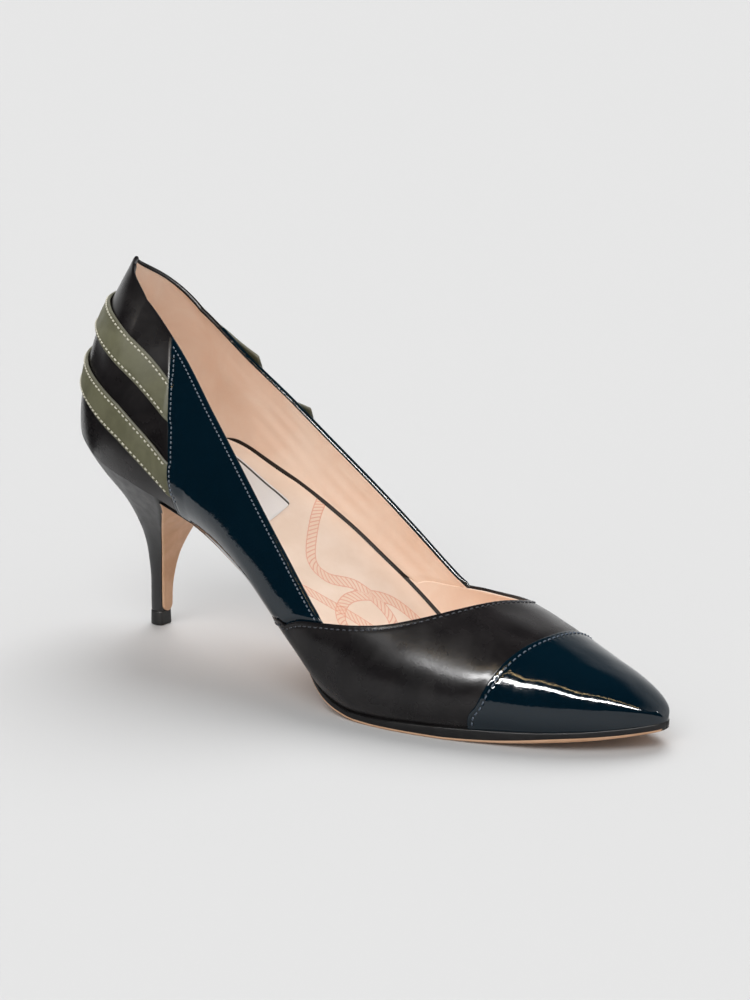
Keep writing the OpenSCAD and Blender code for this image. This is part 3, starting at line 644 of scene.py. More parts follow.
def shell(name, base, normal, top, bottom, materials, slot, nodes, **held):
    """Closed sheet between two depths along the normals of a grid of points."""
    grid = base.shape[:2]
    count = grid[0] * grid[1]
    index = np.arange(count).reshape(grid)
    faces = [base + normal * np.broadcast_to(depth, grid)[..., None] for depth in (top, bottom)]
    points = np.concatenate([face.reshape(-1, 3) for face in faces])
    rim = np.concatenate([index[0], index[1:, -1], index[-1, -2::-1], index[-2:0:-1, 0]])
    after = np.roll(rim, -1)
    faces = np.concatenate([quads(index), quads(index)[:, ::-1] + count,
                            np.stack([rim, rim + count, after + count, after], -1)])
    held = {key: np.tile(np.broadcast_to(value, grid).ravel(), 2) for key, value in held.items()}
    return add_piece(name, points, faces, materials, nodes, attributes=held)


def tower(name, rings, materials, nodes, ring_slots=0, sharp=50):
    """Closed solid through a stack of rings, each end filled with a fan."""
    rings = np.asarray(rings)
    rows, cols = rings.shape[:2]
    slots = np.append(np.tile(np.broadcast_to(ring_slots, cols), rows - 1), np.zeros(2 * cols))
    points = np.concatenate([rings.reshape(-1, 3), rings[[0, -1]].mean(1)])
    return add_piece(name, points, tube_faces(rows, cols), materials, nodes, face_slots=slots,
                     sharp=sharp)


def stitch_row(run, normal, size):
    """Arched stitches along a run of points, their ends sunk in the leather, as (points, faces, ply)."""
    pitch, length, wide = size
    total = run_length(run)
    count = int(total[-1] // pitch)
    steps = np.linspace(-1, 1, 9)
    around = np.linspace(0, 2 * np.pi, 8, endpoint=False)
    one = tube_faces(len(steps), len(around))
    points, faces, ply = [], [], []
    for k in range(count):
        reach = length * (1 + 0.06 * random.uniform(-1, 1))
        where = (k + 0.5) * total[-1] / count + 0.04 * random.uniform(-1, 1) + steps * reach / 2
        at = at_length(where, total, run)
        up = unit(at_length(where, total, normal))
        beside = unit(np.cross(up, unit(np.gradient(at, axis=0))))
        lift = (wide * (0.34 - 0.72 * np.abs(steps) ** 2.6) + 0.02 * random.uniform(-1, 1))[:, None]
        half = wide / 2 * np.sqrt(np.clip(1.04 - steps**6, 0, 1))
        ring = (at + up * lift)[:, None] + half[:, None, None] * (
            np.cos(around)[:, None] * beside[:, None] + 0.85 * np.sin(around)[:, None] * up[:, None])
        faces += moved(one, sum(len(p) for p in points))
        points.append(np.concatenate([ring.reshape(-1, 3), (at + up * lift)[[0, -1]]]))
        ply.append(np.append((steps[:, None] * 1.6 + around / (2 * np.pi)).ravel(), [0, 0]))
    return np.concatenate(points), faces, np.concatenate(ply)


def inset_stitches(line, normal, towards, lift, size):
    """A row of stitches beside a line of points, on the side that lies towards a direction."""
    across = unit(np.cross(normal, unit(np.gradient(line, axis=0))))
    across *= np.sign(across[len(line) // 2] @ np.array(towards))
    return stitch_row(line + across * STITCH_INSET + normal * lift, normal, size)


def add_stitches(name, rows, material, node):
    """One piece out of rows of stitches."""
    faces, start = [], 0
    for points, row_faces, _ in rows:
        faces += moved(row_faces, start)
        start += len(points)
    points, ply = (np.concatenate([row[k] for row in rows]) for k in (0, 2))
    add_piece(name, points, faces, [material], [node], attributes={"ply": ply}, sharp=180)


# ---- Upper ----

DARK = dark_leather()
PATENT = patent()
OLIVE = olive_leather()


def seam_on_forepart(pairs, count):
    """Evenly spaced places along a seam of the forepart, its bends softened, as (station, r)."""
    r = np.linspace(-1, 1, 3000)
    dense, window = 1600, 161
    where = evenly(fore(curve(pairs, r), r), dense) * 2 - 1
    soft = np.hanning(window)
    x = np.convolve(np.pad(curve(pairs, where), window // 2, "edge"), soft / soft.sum(), "valid")
    pick, index = np.linspace(0, 1, count), np.linspace(0, 1, dense)
    return np.interp(pick, index, x), np.interp(pick, index, where)


def seam_stitches(pairs, lift):
    """A row of stitches beside a seam of the forepart, on its toe side."""
    x, r = (values[14:-14] for values in seam_on_forepart(pairs, 1000))
    return inset_stitches(fore(x, r), fore_normal(x, r), (1, 0, 0), lift(r)[:, None], SEAM_STITCH)


def over_quarter(r):
    """1 where the vamp lies over a quarter and 0 on the top of the foot."""
    return fade(np.abs(r), 0.36, 0.46)


def make_vamp():
    start, end = (np.stack(seam_on_forepart(pairs, 360), -1) for pairs in (THROAT_X, CAP_X))
    span = np.linalg.norm(fore(*end.T) - fore(*start.T), axis=-1)
    before = np.array([4, 2.8, 2, 1.4, 0.9, 0.5, 0.2, 0])
    middle = np.linspace(0, 1, 26)[1:-1]
    share = ([d / span for d in NEAR] + [mix(NEAR[-1] / span, 1 - before[0] / span, t) for t in middle]
             + [1 - d / span for d in before])
    past = [end + [d, 0] for d in (0.25, 0.6, 1.2, 2.2, 3.8, LAP)]
    grid = np.array([mix(start, end, t[:, None]) for t in share] + past)
    x, r = grid[..., 0], grid[..., 1]
    base, normal = fore(x, r), fore_normal(x, r)
    edge, along = distance_to(base, base[0])
    cap, _ = distance_to(base, base[len(share) - 1])
    beyond = np.arange(len(grid))[:, None] >= len(share)
    lapped = over_quarter(r)
    top = mix(0.12, 0.42, lapped * (1 - fade(edge, 5, 11))) - 0.1 * fade(edge, 6, 20)
    top = top + seam_dimples(edge, along) + ripple(base, 26, 0.16, 3) * fade(edge, 2, 9)
    top = top - np.where(beyond, 0.14 + 0.55 * fade(cap, 0, 0.9), 0.14 * (1 - fade(cap, 0.2, 3.5)))
    bottom = np.where(beyond, -LEATHER - 0.1, -LEATHER + 0.4 * lapped * (1 - fade(edge, 5, 8)))
    top, bottom = rolled(top, np.minimum(bottom, top - 0.1), edge)
    shell("vamp_leather", base, normal, top, bottom, [DARK], "dark_leather", ["vamp"], edge=edge)
    row = seam_stitches(THROAT_X, lambda r: 0.05 + 0.3 * over_quarter(r))
    add_stitches("vamp_thread", [row], DARK_THREAD, "vamp_stitches")


def make_cap():
    start, r = seam_on_forepart(CAP_X, 300)
    near = np.append(NEAR, 8)
    t = np.linspace(0, 1, 52)[1:, None]
    x = np.concatenate([start + near[:, None],
                        start + near[-1] + (LENGTH - start - near[-1]) * np.sin(np.pi / 2 * t)])
    r = np.broadcast_to(r, x.shape)
    base = fore(x, r)
    tip = fade(x, LENGTH - 0.6, LENGTH)[..., None]
    normal = unit(mix(fore_normal(np.minimum(x, LENGTH - 0.25), r), np.array([1.0, 0, 0]), tip))
    edge, along = distance_to(base, base[0])
    calm = fade(edge, 1.5, 5) * (1 - fade(x, LENGTH - 6, LENGTH))
    top = mix(0.42, 0.28, fade(edge, 1, 9)) + seam_dimples(edge, along)
    top = top + (ripple(base, 15, 0.055, 5) + ripple(base, 5.5, 0.012, 6)) * calm
    top, bottom = rolled(top, mix(-0.35, -LEATHER + 0.1, fade(edge, LAP, LAP + 2)), edge)
    shell("toe_cap_patent", base, normal, top, bottom, [PATENT], "patent", ["toe_cap"], edge=edge)
    row = seam_stitches(CAP_X, lambda r: 0.36 + 0 * r)
    add_stitches("toe_cap_thread", [row], CAP_THREAD, "cap_stitches")


def over_bands(s, z):
    """1 where a band passes at this place and 0 clear of it."""
    share = np.zeros(np.shape(z))
    for path in (BAND_UPPER_Z, BAND_LOWER_Z):
        slope = (curve(path, s + 1) - curve(path, s - 1)) / 2
        off = np.abs(z - curve(path, s)) / np.sqrt(1 + slope**2)
        share = np.maximum(share, 1 - fade(off, BAND_WIDTH / 2 - 0.8, BAND_WIDTH / 2 + 1.6))
    return share


def quarter_depth(side, s, z, edge_back):
    """How far a quarter's face stands out: it laps over the counter and, laterally, over the bands."""
    out = 0.26 + 0.26 * (1 - fade(edge_back, 2, 8))
    if side == LATERAL:
        out = out + 0.85 * over_bands(s, z) * (1 - fade(edge_back, 2.5, 8))
    return out


def make_quarter(side):
    """Quarter of one side. Returns the rows of stitches along its topline and its back seam."""
    name = "lateral" if side == LATERAL else "medial"
    share, drop = border_rows(30)
    back, front = back_seam(side, share, drop), front_seam(side, share, drop)
    past = np.array([-1.4, -0.9, -0.5, -0.2, 0, 0.3, 0.8, 1.6, 3, LAP])
    x = np.concatenate([back + NEAR, mix(back + NEAR[-1], front - 2, np.linspace(0, 1, 112)[1:]),
                        front + past], 1)
    s = side * x
    z = lowered(s, row_z(s, share, drop), 0.1 * fade(x - front, -0.4, 2.2))
    base, normal = rear_at(s, z)
    edge_top, along_top = distance_to(base, base[-1])
    edge_back, along_back = distance_to(base, base[:, 0])
    edge = np.minimum(edge_top, edge_back)
    under = fade(x - front, -1.2, 0.3)
    top = quarter_depth(side, s, z, edge_back) - 0.8 * under
    top = top + seam_dimples(edge_top, along_top) + seam_dimples(edge_back, along_back)
    uneven = ripple(base, 20, 0.11, 7 + side) + ripple(base, 6, 0.012, 9)
    top = top + uneven * fade(edge, 2, 7) * (1 - under)
    bottom = mix(over_tape(edge_top), -LEATHER, fade(x - front, -3, -1))
    bottom = bottom + 0.5 * (1 - fade(edge_back, 5, 7)) * fade(edge_top, 5, 8)
    top, bottom = rolled(top, np.minimum(bottom, top - 0.1), edge)
    shell(f"quarter_{name}_patent", base, normal, top, bottom, [PATENT], "patent",
          [f"quarter_{name}"], edge=edge)
    s = side * np.linspace(back[-1, 0] + 3, front[-1, 0] - 1.5, 500)
    rows = [inset_stitches(*rear_at(s, top_z(s)), (0, 0, -1), 0.2, QUARTER_STITCH)]
    share, drop = np.linspace(0.03, 1, 300), np.full(300, 4.5)
    s = side * back_seam(side, share, drop)
    z = row_z(s, share, drop)
    out = quarter_depth(side, s, z, np.full(s.shape, STITCH_INSET)) - 0.06
    return rows + [inset_stitches(*rear_at(s, z), (1, 0, 0), out[:, None], QUARTER_STITCH)]


def over_tape(edge):
    """Inner face of the outer leather: turned over the lining's rim, then over the topline tape."""
    return mix(-1.8, mix(-1.2, -LEATHER, fade(edge, 4.5, 6)), fade(edge, 0.85, 1.2))


def make_counter():
    share, drop = border_rows(34)
    near, far = (back_seam(side, share, drop) + LAP for side in (LATERAL, MEDIAL))
    s = mix(-near, far, np.linspace(0, 1, 240))
    base, normal = rear_at(s, row_z(s, share, drop))
    edge, _ = distance_to(base, base[-1])
    inside = np.where(s < 0, near - LAP + s, far - LAP - s)
    uneven = ripple(base, 24, 0.12, 12) * fade(edge, 2, 8) * fade(inside, 0, 6)
    top = 0.04 - 0.6 * (1 - fade(inside, -0.5, 0.8)) + uneven
    top, bottom = rolled(top, over_tape(edge), edge)
    shell("counter_leather", base, normal, top, np.minimum(bottom, top), [DARK], "dark_leather",
          ["back_counter"], edge=edge)


def make_band(path, name, node):
    """Olive band: its lateral end runs under the quarter, its medial end lifts off."""
    first, tail = path[0][0], path[-1][0]
    slope = curve(path, first + 1.5) - curve(path, first + 0.5)

    def height(s):
        """Height of the band's middle, carried on straight past the first station."""
        return curve(path, s) + np.minimum(s - first, 0) * slope

    x = 60.0
    for _ in range(12):
        x = float(curve(BACK_SEAM[LATERAL], way_at(x, height(-x))))
    dense = np.linspace(-75, tail, 2000)
    dense = dense[dense > -x - 3.2]
    s = mix(dense[0], dense[-1], evenly(rear_at(dense, height(dense))[0], 230))
    half = BAND_WIDTH / 2 * np.sqrt(1 + ((height(s + 1) - height(s - 1)) / 2) ** 2)
    across = np.sin(np.linspace(-np.pi / 2, np.pi / 2, 27))[:, None]
    base, normal = rear_at(np.broadcast_to(s, (len(across), len(s))), height(s) + across * half)
    edge = (1 - np.abs(across)) * np.full(len(s), BAND_WIDTH / 2)
    run = run_length(base[len(across) // 2])
    lift = 0.1 + 0.45 * bump(s, 0, 16) + 0.3 * fade(s, 40, 50) + 0.5 * fade(s, tail - 13, tail)
    lift = lift - 0.75 * (1 - fade(s, -x - 0.6, -x + 1.6))
    top = lift + BAND_THICKNESS + 0.12 * (1 - across**2) + ripple(base, 17, 0.07, 15)
    off = np.minimum(np.abs(edge - BAND_INSET), 9)
    pucker = 0.04 * np.cos(2 * np.pi * run / BAND_STITCH[0])
    top = top - 0.1 * bump(off, 0, 0.4) + pucker * bump(off, 0, 0.9)
    rounded = np.minimum(edge, run[-1] - run)
    top, bottom = rolled(top, np.broadcast_to(lift, top.shape), rounded)
    shell(name, base, normal, top, bottom, [OLIVE], "olive_leather", [node], edge=rounded)
    keep = (s > -x + 0.7) & (s < tail - 3)
    out = (lift[keep] + BAND_THICKNESS + 0.03)[:, None]
    rows = []
    for sign in (-1, 1):
        z = height(s[keep]) + sign * (1 - BAND_INSET / (BAND_WIDTH / 2)) * half[keep]
        line, n = rear_at(s[keep], z)
        rows.append(stitch_row(line + n * out, n, BAND_STITCH))
    return rows


# ---- Inside ----


def stiff_share(s, z):
    """1 where the heel cup's stiffener lies behind the lining and 0 clear of it."""
    foot = curve(FEATHER_Z, np.abs(s))
    return fade(np.abs(s), 74, 56) * fade((z - foot) / (top_z(s) - foot), 0.95, 0.6)


def over_sock(points):
    """Height over the sock, which places the painted shade in the crevice along its edge; large at the
    heel, where it closes.
    """
    x = points[..., 0] - HEEL_BACK
    t = np.where(points[..., 1] - MIDDLE > curve(SWING, x), 1, 0)
    sock = bottom_z(x) + SOCK_RISE + pad_rise(x) + arch_rise(x, t)
    return points[..., 2] - sock + 3 * (1 - fade(x, 36, 52))


def make_quarter_lining():
    share, drop = border_rows(44, LINING_DROP)
    near, far = (front_seam(side, share, drop) + LAP for side in (LATERAL, MEDIAL))
    s = mix(-near, far, np.linspace(0, 1, 340))
    past = np.abs(s) + LAP - np.where(s < 0, near, far)
    z = lowered(s, row_z(s, share, drop), 0.12 * fade(past, -0.4, 2.2))
    base, normal = rear_at(s, z)
    edge, along = distance_to(base, base[-1])
    outer = -LEATHER - 0.07 - STIFFENER * stiff_share(s, z) + 0.5 * fade(past, -0.6, 0.6)
    crease = np.sin(2 * np.pi * (edge + 1.4 * np.sin(along / 17)) / 6.2)
    crease = crease * fade(edge, 3, 8) * (1 - fade(edge, 17, 30))
    crease = 0.13 * crease * (0.35 + 0.65 * np.sin(along / 11) ** 2) * fade(np.abs(s), 38, 60)
    inner = outer - LINING + crease + ripple(base, 30, 0.14, 21) + 0.05 * bump(edge, 1.35, 0.3)
    outer = outer - 0.28 * (1 - fade(edge, 4.5, 6))
    add_lining("quarter", base, normal, outer, inner, edge)


def make_vamp_lining():
    cols = 260
    start = np.stack(seam_on_forepart(THROAT_X, cols), -1)
    end = np.stack([np.full(cols, LENGTH - 10.0), seam_on_forepart(CAP_X, cols)[1]], -1)
    span = np.linalg.norm(fore(*end.T) - fore(*start.T), axis=-1)
    share = [(LINING_DROP + d) / span for d in NEAR]
    share += [mix(share[-1], 1, t) for t in np.linspace(0, 1, 40)[1:]]
    x, r = np.moveaxis(np.array([mix(start, end, t[:, None]) for t in share]), -1, 0)
    base, normal = fore(x, r), fore_normal(x, r)
    edge, _ = distance_to(base, base[0])
    outer = -LEATHER - 0.12 - STIFFENER * fade(x, 202, 214)
    inner = outer - LINING + ripple(base, 26, 0.14, 22)
    add_lining("vamp", base, normal, outer, inner, edge)


def add_lining(part, base, normal, outer, inner, edge):
    outer, inner = rolled(outer, np.minimum(inner, outer - 0.3), edge)
    shell(f"{part}_lining_leather", base, normal, outer, inner, [LINING_LOOK], "lining_leather",
          [f"{part}_lining"], over_sock=over_sock(base))


def bottom_z(x):
    """Height of the last's bottom, which is swept round at the back like the wall."""
    fan = FAN - np.arcsin(np.clip((FAN - x) / FAN, 0, 1)) / (np.pi / 2) * FAN
    return curve(FEATHER_Z, np.where(x < FAN, fan, x))


def bottom_edge(x, side, rise, inset):
    """Point at a height over the feather line, on the wall's face and then inwards by inset."""
    x = np.asarray(x, float)
    _, belly, lean, _ = section(x)
    way = -np.arcsin(np.clip(1 - rise / np.maximum(belly, rise + 0.01), 0, 1) * np.sin(lean)) / lean
    p = wall(x, way, side)
    centre = np.stack([np.clip(p[..., 0], FAN + HEEL_BACK, LENGTH + HEEL_BACK - 12),
                       curve(SWING, x) + MIDDLE, p[..., 2]], -1)
    gap = np.maximum(np.linalg.norm(centre - p, axis=-1), 1e-6)
    moved = mix(p, centre, np.minimum(inset / gap, 0.9)[..., None])
    moved[..., 2] = bottom_z(moved[..., 0] - HEEL_BACK) + rise
    return moved


def pad_rise(x):
    """Lift of the sock over the foam heel pad."""
    return PAD * fade(x, 76, 58)


def arch_rise(x, t):
    """Lift of the sock to the arch of the foot; t runs from the lateral to the medial edge."""
    return ARCH * fade(x, 25, 60) * (1 - fade(x, 120, 165)) * fade(t, 0.4, 1)


def sock_sides(stations):
    """Edges of the sock, level over the feather line, as close to the lining as it leans there."""
    stiff = np.maximum(1 - fade(stations, 56, 74), fade(stations, 202, 214))
    inset = LEATHER + LINING + 0.2 + STIFFENER * stiff
    near = bottom_edge(stations, LATERAL, SOCK_RISE - 0.3, inset + 0.2)
    far = bottom_edge(stations, MEDIAL, SOCK_RISE - 0.3 + arch_rise(stations, 1.0), inset + SOCK_GAP)
    far[:, 2] = bottom_z(far[:, 0] - HEEL_BACK) + SOCK_RISE - 0.3
    return near, far


def rope_run(places):
    """A smooth run through the places of a rope, flat at height 0."""
    steps = np.linspace(0, len(places) - 1, 500)
    run = [curve([[k, place[i]] for k, place in enumerate(places)], steps) for i in (0, 1)]
    return np.stack(run + [0 * steps], -1)


def make_sock():
    heel = [0.8, 2, 3.5, 5.5, 8, 11, 14.5, 18, 22, 27, 33]
    stations = np.concatenate([heel, np.linspace(40, 236, 240), [239, 241.5, 243.5, 245]])
    t = np.linspace(0, 1, 81)
    near, far = sock_sides(stations)
    base = mix(near[:, None], far[:, None], t[:, None])
    x = base[..., 0] - HEEL_BACK
    y = base[..., 1] - MIDDLE - curve(SWING, x)
    edge = np.minimum(t, 1 - t) * np.linalg.norm(far - near, axis=-1)[:, None]
    base[..., 2] += pad_rise(x) + 0.3 + arch_rise(stations[:, None], t) + ripple(base, 34, 0.1, 31)
    top, bottom = rolled(0.0, -0.75, edge)
    held = {}
    for k, places in enumerate(ROPES):
        run = rope_run(places)
        off, along = distance_to(np.stack([x, y, 0 * x], -1), run)
        total = run_length(run)
        at, to = (at_length(along, total, way) for way in (run, unit(np.gradient(run, axis=0))))
        turn = to[..., 0] * (y - at[..., 1]) - to[..., 1] * (x - at[..., 0])
        held[f"rope{k}_off"] = np.minimum(off, 9)
        held[f"rope{k}_lay"] = along / ROPE_TWIST + 0.5 * off * np.where(turn < 0, -1, 1)
    shell("sock_leather", base, UP, top, bottom, [sock_leather()], "sock_leather", ["sock"], **held)


def make_label():
    """Plain woven patch with rounded corners: no lettering."""
    middle, half = (LABEL_FROM + LABEL_TO) / 2, (LABEL_TO - LABEL_FROM) / 2
    x, y = np.meshgrid(np.linspace(LABEL_FROM, LABEL_TO, 90), np.linspace(-LABEL_HALF, LABEL_HALF, 80),
                       indexing="ij")
    corner = 2.0
    over_x = np.maximum(np.abs(x - middle) - (half - corner), 0)
    over_y = np.maximum(np.abs(y) - (LABEL_HALF - corner), 0)
    reach = np.maximum(np.hypot(over_x, over_y), 1e-9)
    pull = np.where((over_x > 0) & (over_y > 0), np.minimum(corner / np.maximum(reach, corner), 1), 1)
    px = np.where(over_x > 0, middle + np.sign(x - middle) * (half - corner + over_x * pull), x)
    py = np.where(over_y > 0, np.sign(y) * (LABEL_HALF - corner + over_y * pull), y)
    along, across = px + HEEL_BACK, py + curve(SWING, px) + MIDDLE
    near, far = (np.interp(along, side[:, 0], side[:, 1]) for side in sock_sides(np.linspace(40, 95, 56)))
    z = bottom_z(px) + SOCK_RISE + pad_rise(px) + arch_rise(px, (across - near) / (far - near))
    base = np.stack([along, across, z], -1)
    base[..., 2] += ripple(base, 34, 0.1, 31)
    edge = np.minimum(np.minimum(x - LABEL_FROM, LABEL_TO - x), LABEL_HALF - np.abs(y))
    top, bottom = rolled(0.5, 0.12, edge)
    label = shell("sock_label_cloth", base, UP, top, bottom, [label_cloth()], "label_cloth",
                  ["sock_label"], label_across=y, label_along=x)


# ---- Bottom and heel ----


def heel_point(h, turn):
    """Point of the heel's face. turn runs from -90 degrees at the lateral corner over the back to 90."""
    around = np.pi - turn / (np.pi / 2) * TIP_CORNER_ANGLE
    radius = TIP_WIDTH / 2
    low = np.stack([TIP_STATION + radius * np.cos(around) + HEEL_BACK, radius * np.sin(around) + MIDDLE,
                    LIFT_HEIGHT + 0 * around], -1)
    seat = wall(np.maximum(BREAST_CORNER * (1 - np.cos(turn)), 0.3), -1.0, side_of(turn)) - [0, 0, 0.1]
    out = mix(curve(FLARE_BACK, h), curve(FLARE_FRONT, h), 1 - np.cos(turn))
    shares = (out, curve(FLARE_SIDE, h), h)
    return np.stack([mix(low[..., i], seat[..., i], share) for i, share in enumerate(shares)], -1)


def breast_point(h, t, out):
    """Point of the breast, moved forwards by out. t runs from the lateral to the medial corner."""
    h, t, out = np.broadcast_arrays(np.asarray(h, float), t, out)
    near, far = (heel_point(h, np.full(h.shape, corner)) for corner in (-np.pi / 2, np.pi / 2))
    bulge = curve(BREAST_BULGE, h) * (1 - (2 * t - 1) ** 2)
    drop = curve(FEATHER_Z, BREAST_CORNER) - curve(FEATHER_Z, BREAST_CORNER + bulge + out)
    return mix(near, far, t[..., None]) + np.stack([bulge + out, 0 * h, -drop * h**3], -1)


def make_heel():
    h = np.concatenate([[0, 0.003, 0.008, 0.015], np.linspace(0.03, 0.97, 66), [0.985, 1]])[:, None]
    turn = np.linspace(np.pi / 2, -np.pi / 2, 100)
    back = heel_point(*np.broadcast_arrays(h, turn))
    rings = np.concatenate([back, breast_point(h, np.linspace(0, 1, 26)[1:-1], 0.0)], 1)
    inwards = unit(rings.mean(1, keepdims=True) - rings) * [1, 1, 0]
    rings = rings + inwards * 0.25 * (1 - quarter_round(h / 0.008, 0))[..., None]
    tower("heel_block_cover", rings, [heel_cover()], ["heel_block"], sharp=60)


def quarter_round(share, least):
    """Height of a quarter circle over this share of its radius."""
    return np.sqrt(np.clip(1 - (1 - np.clip(share, 0, 1)) ** 2, least, 1))


def make_lift():
    """Wear piece, a little wider than the heel's foot, with its corners rounded."""
    angle = np.linspace(0, 2 * np.pi, 120, endpoint=False)
    radius = TIP_WIDTH / 2 + 0.3
    front = TIP_WIDTH * 0.36 + 0.25
    outline = np.stack([np.minimum(radius * np.cos(angle), front), radius * np.sin(angle)], -1)
    for _ in range(14):
        outline = (np.roll(outline, 1, 0) + 2 * outline + np.roll(outline, -1, 0)) / 4
    rings = []
    for z, shrink in ((0, 0.35), (0.12, 0.15), (0.3, 0.03), (0.5, 0), (2.5, 0.04), (LIFT_HEIGHT - 0.5, 0.1),
                      (LIFT_HEIGHT - 0.2, 0.16), (LIFT_HEIGHT, 0.4)):
        flat = outline * (1 - shrink / radius) + [TIP_STATION + HEEL_BACK, MIDDLE]
        rings.append(np.column_stack([flat, np.full(len(flat), z + FLOOR)]))
    tower("top_lift_wear_piece", rings, [LIFT_LOOK], ["top_lift"])


def make_outsole():
    """Leather sole with a painted edge, carried down the breast of the heel."""
    tip = LENGTH - 20 * (1 - np.sin(np.linspace(np.pi / 2, 0, 36)))
    stations = np.minimum(np.append(tip, np.linspace(225, 68, 200)), LENGTH - 0.004)
    t = np.linspace(0, 1, 25)
    # Rows of the edge as (drop, how far it stands out): the painted part, then the tan part under it
    painted = [(0, -0.16), (0.04, -0.04), (0.12, 0.03), (0.3, 0.06), (0.5, 0.06), (0.72, 0.04), (0.9, 0),
               (0.97, -0.05), (1, -0.12)]
    bare = [(0.02, -0.05), (0.25, 0.02), (0.5, 0), (0.7, -0.1), (0.88, -0.28), (1, -0.5)]
    edge_out = mix(-1, 0.9, fade(stations, 122, 146)) - 0.45 * fade(stations, 232, 245)
    bare_high = 0.35 + 0.55 * fade(stations, 130, 150) + 0.5 * bump(stations, 222, 14)
    high = bottom_z(stations)
    low = np.maximum(curve(SOLE_Z, stations), 0) + FLOOR
    parting = np.minimum(low + bare_high, high - 0.5)

    def profile(side):
        rows = []
        for pairs, start, end, back in ((painted, high - 0.02, parting, 0), (bare, parting, low, 0.08)):
            for drop, out in pairs:
                rows.append(bottom_edge(stations, side, 0, -(edge_out - back + out)))
                rows[-1][:, 2] = mix(start, end, drop)
        return np.stack(rows, 1)

    near, far = profile(LATERAL), profile(MEDIAL)
    across_top = mix(near[:, :1], far[:, :1], t[1:-1, None])
    across_low = mix(far[:, -1:], near[:, -1:], t[1:-1, None])
    across_low[..., 2] = low[:, None]
    sole = np.concatenate([across_top, far, across_low, near[:, ::-1]], 1)
    count = near.shape[1]
    heights = np.append(np.linspace(0.957, 0.06, 90), [0.045, 0.032, 0.022, 0.014, 0.008, 0.004])[:, None]
    turn = np.linspace(0, np.pi, count)
    thick = OUTSOLE_THICKNESS * 0.7
    corners = breast_point(heights, 1.0, 0.0) - breast_point(heights, 0.0, 0.0)
    width = np.linalg.norm(corners, axis=-1)
    tuck = 0.5 + 0.5 * (1 - quarter_round(heights / 0.05, 0.02)) * width

    def flap(share, out):
        return breast_point(heights, mix(tuck / width, 1 - tuck / width, share), out)

    roll = 0.45 * np.sin(turn) / width
    flaps = [flap(t[1:-1], 0.03), flap(1 + roll, thick * (1 - np.cos(turn)) / 2 + 0.03),
             flap(t[::-1][1:-1], thick), flap(-roll, thick * (1 + np.cos(turn)) / 2 + 0.03)]
    rings = np.concatenate([sole, np.concatenate(flaps, 1)])
    top_count = len(t) - 2
    paint = np.zeros(rings.shape[1])
    paint[:top_count + len(painted)] = 1
    start = top_count * 2 + count
    paint[start + len(bare) - 1:start + count] = 1
    piece = tower("outsole_leather", rings, [TAN, painted_edge()], ["outsole"],
                  ring_slots=paint)
    for face in piece.data.polygons:
        station = face.center.x / MM - HEEL_BACK
        if station < 66 and face.center.z / MM < 49:
            face.material_index = 0
        if station > LENGTH - 0.05:
            face.material_index = 1


NAVY = thread("quarter_thread", (0.07, 0.09, 0.12), (0.26, 0.30, 0.36))
CAP_THREAD = thread("cap_thread", (0.03, 0.045, 0.07), (0.10, 0.14, 0.20))
DARK_THREAD = thread("vamp_thread", (0.008, 0.010, 0.016), (0.035, 0.040, 0.055))
CREAM = thread("cream_thread", (0.50, 0.47, 0.36), (0.80, 0.77, 0.64))
LINING_LOOK = lining_leather()
TAN = tan_sole()
LIFT_LOOK = plain("top_lift", (0.006, 0.006, 0.006), (0.014, 0.014, 0.014), 2.5, 0.5, 0.03)

make_vamp()
make_cap()
quarter_rows = make_quarter(LATERAL) + make_quarter(MEDIAL)
add_stitches("quarter_thread", quarter_rows, NAVY, "quarter_stitches")
make_counter()
band_rows = (make_band(BAND_UPPER_Z, "band_upper_leather", "band_upper")
             + make_band(BAND_LOWER_Z, "band_lower_leather", "band_lower"))
add_stitches("band_thread", band_rows, CREAM, "band_stitches")
make_quarter_lining()
make_vamp_lining()
make_sock()
make_label()
make_outsole()
make_heel()
make_lift()

# ---- CAD nodes that stay: what lies inside ----

STEEL = plain("steel", (0.42, 0.43, 0.45), (0.60, 0.61, 0.63), 1.5, 0.34, 0.01, metallic=1.0,
              stretch=(0.2, 1, 1))
FOAM = plain("foam", (0.74, 0.71, 0.62), (0.86, 0.84, 0.78), 0.9, 0.85, 0.15)
BOARD = plain("board", (0.33, 0.23, 0.14), (0.50, 0.38, 0.26), 1.2, 0.8, 0.06)
STIFF = plain("stiffener", (0.60, 0.56, 0.48), (0.76, 0.72, 0.64), 0.7, 0.8, 0.08)
TAPE = plain("tape", (0.76, 0.76, 0.73), (0.88, 0.88, 0.86), 0.5, 0.75, 0.05)
INNER = {"counter_stiffener": STIFF, "toe_puff": STIFF, "topline_tape": TAPE, "bottom_filler": FOAM,
         "shank": STEEL, "shank_rivets": STEEL, "insole_board": BOARD, "heel_pad": FOAM,
         "heel_dowel": STEEL, "top_lift_pin": STEEL, "heel_screw": STEEL, "heel_nails": STEEL}
for node, material in INNER.items():
    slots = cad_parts[node].data.materials
    if len(slots) == 0:
        slots.append(material)
    for k in range(len(slots)):
        slots[k] = material

# ---- Floor, light and camera ----


def matt(name, grey, **more):
    """A look with no gloss, for the studio."""
    return Look(name, Specular_IOR_Level=0.0, Roughness=1.0, Base_Color=(grey, grey, grey), **more)


def add_stage(name, points, faces, look, only_in_gloss):
    """A piece of the studio, in metres."""
    mesh = bpy.data.meshes.new(name)
    mesh.from_pydata(points, [], faces)
    mesh.materials.append(look.done())
    piece = link(name, mesh)
    if only_in_gloss:
        piece.visible_camera = piece.visible_diffuse = piece.visible_shadow = False
        piece.visible_transmission = piece.visible_volume_scatter = False


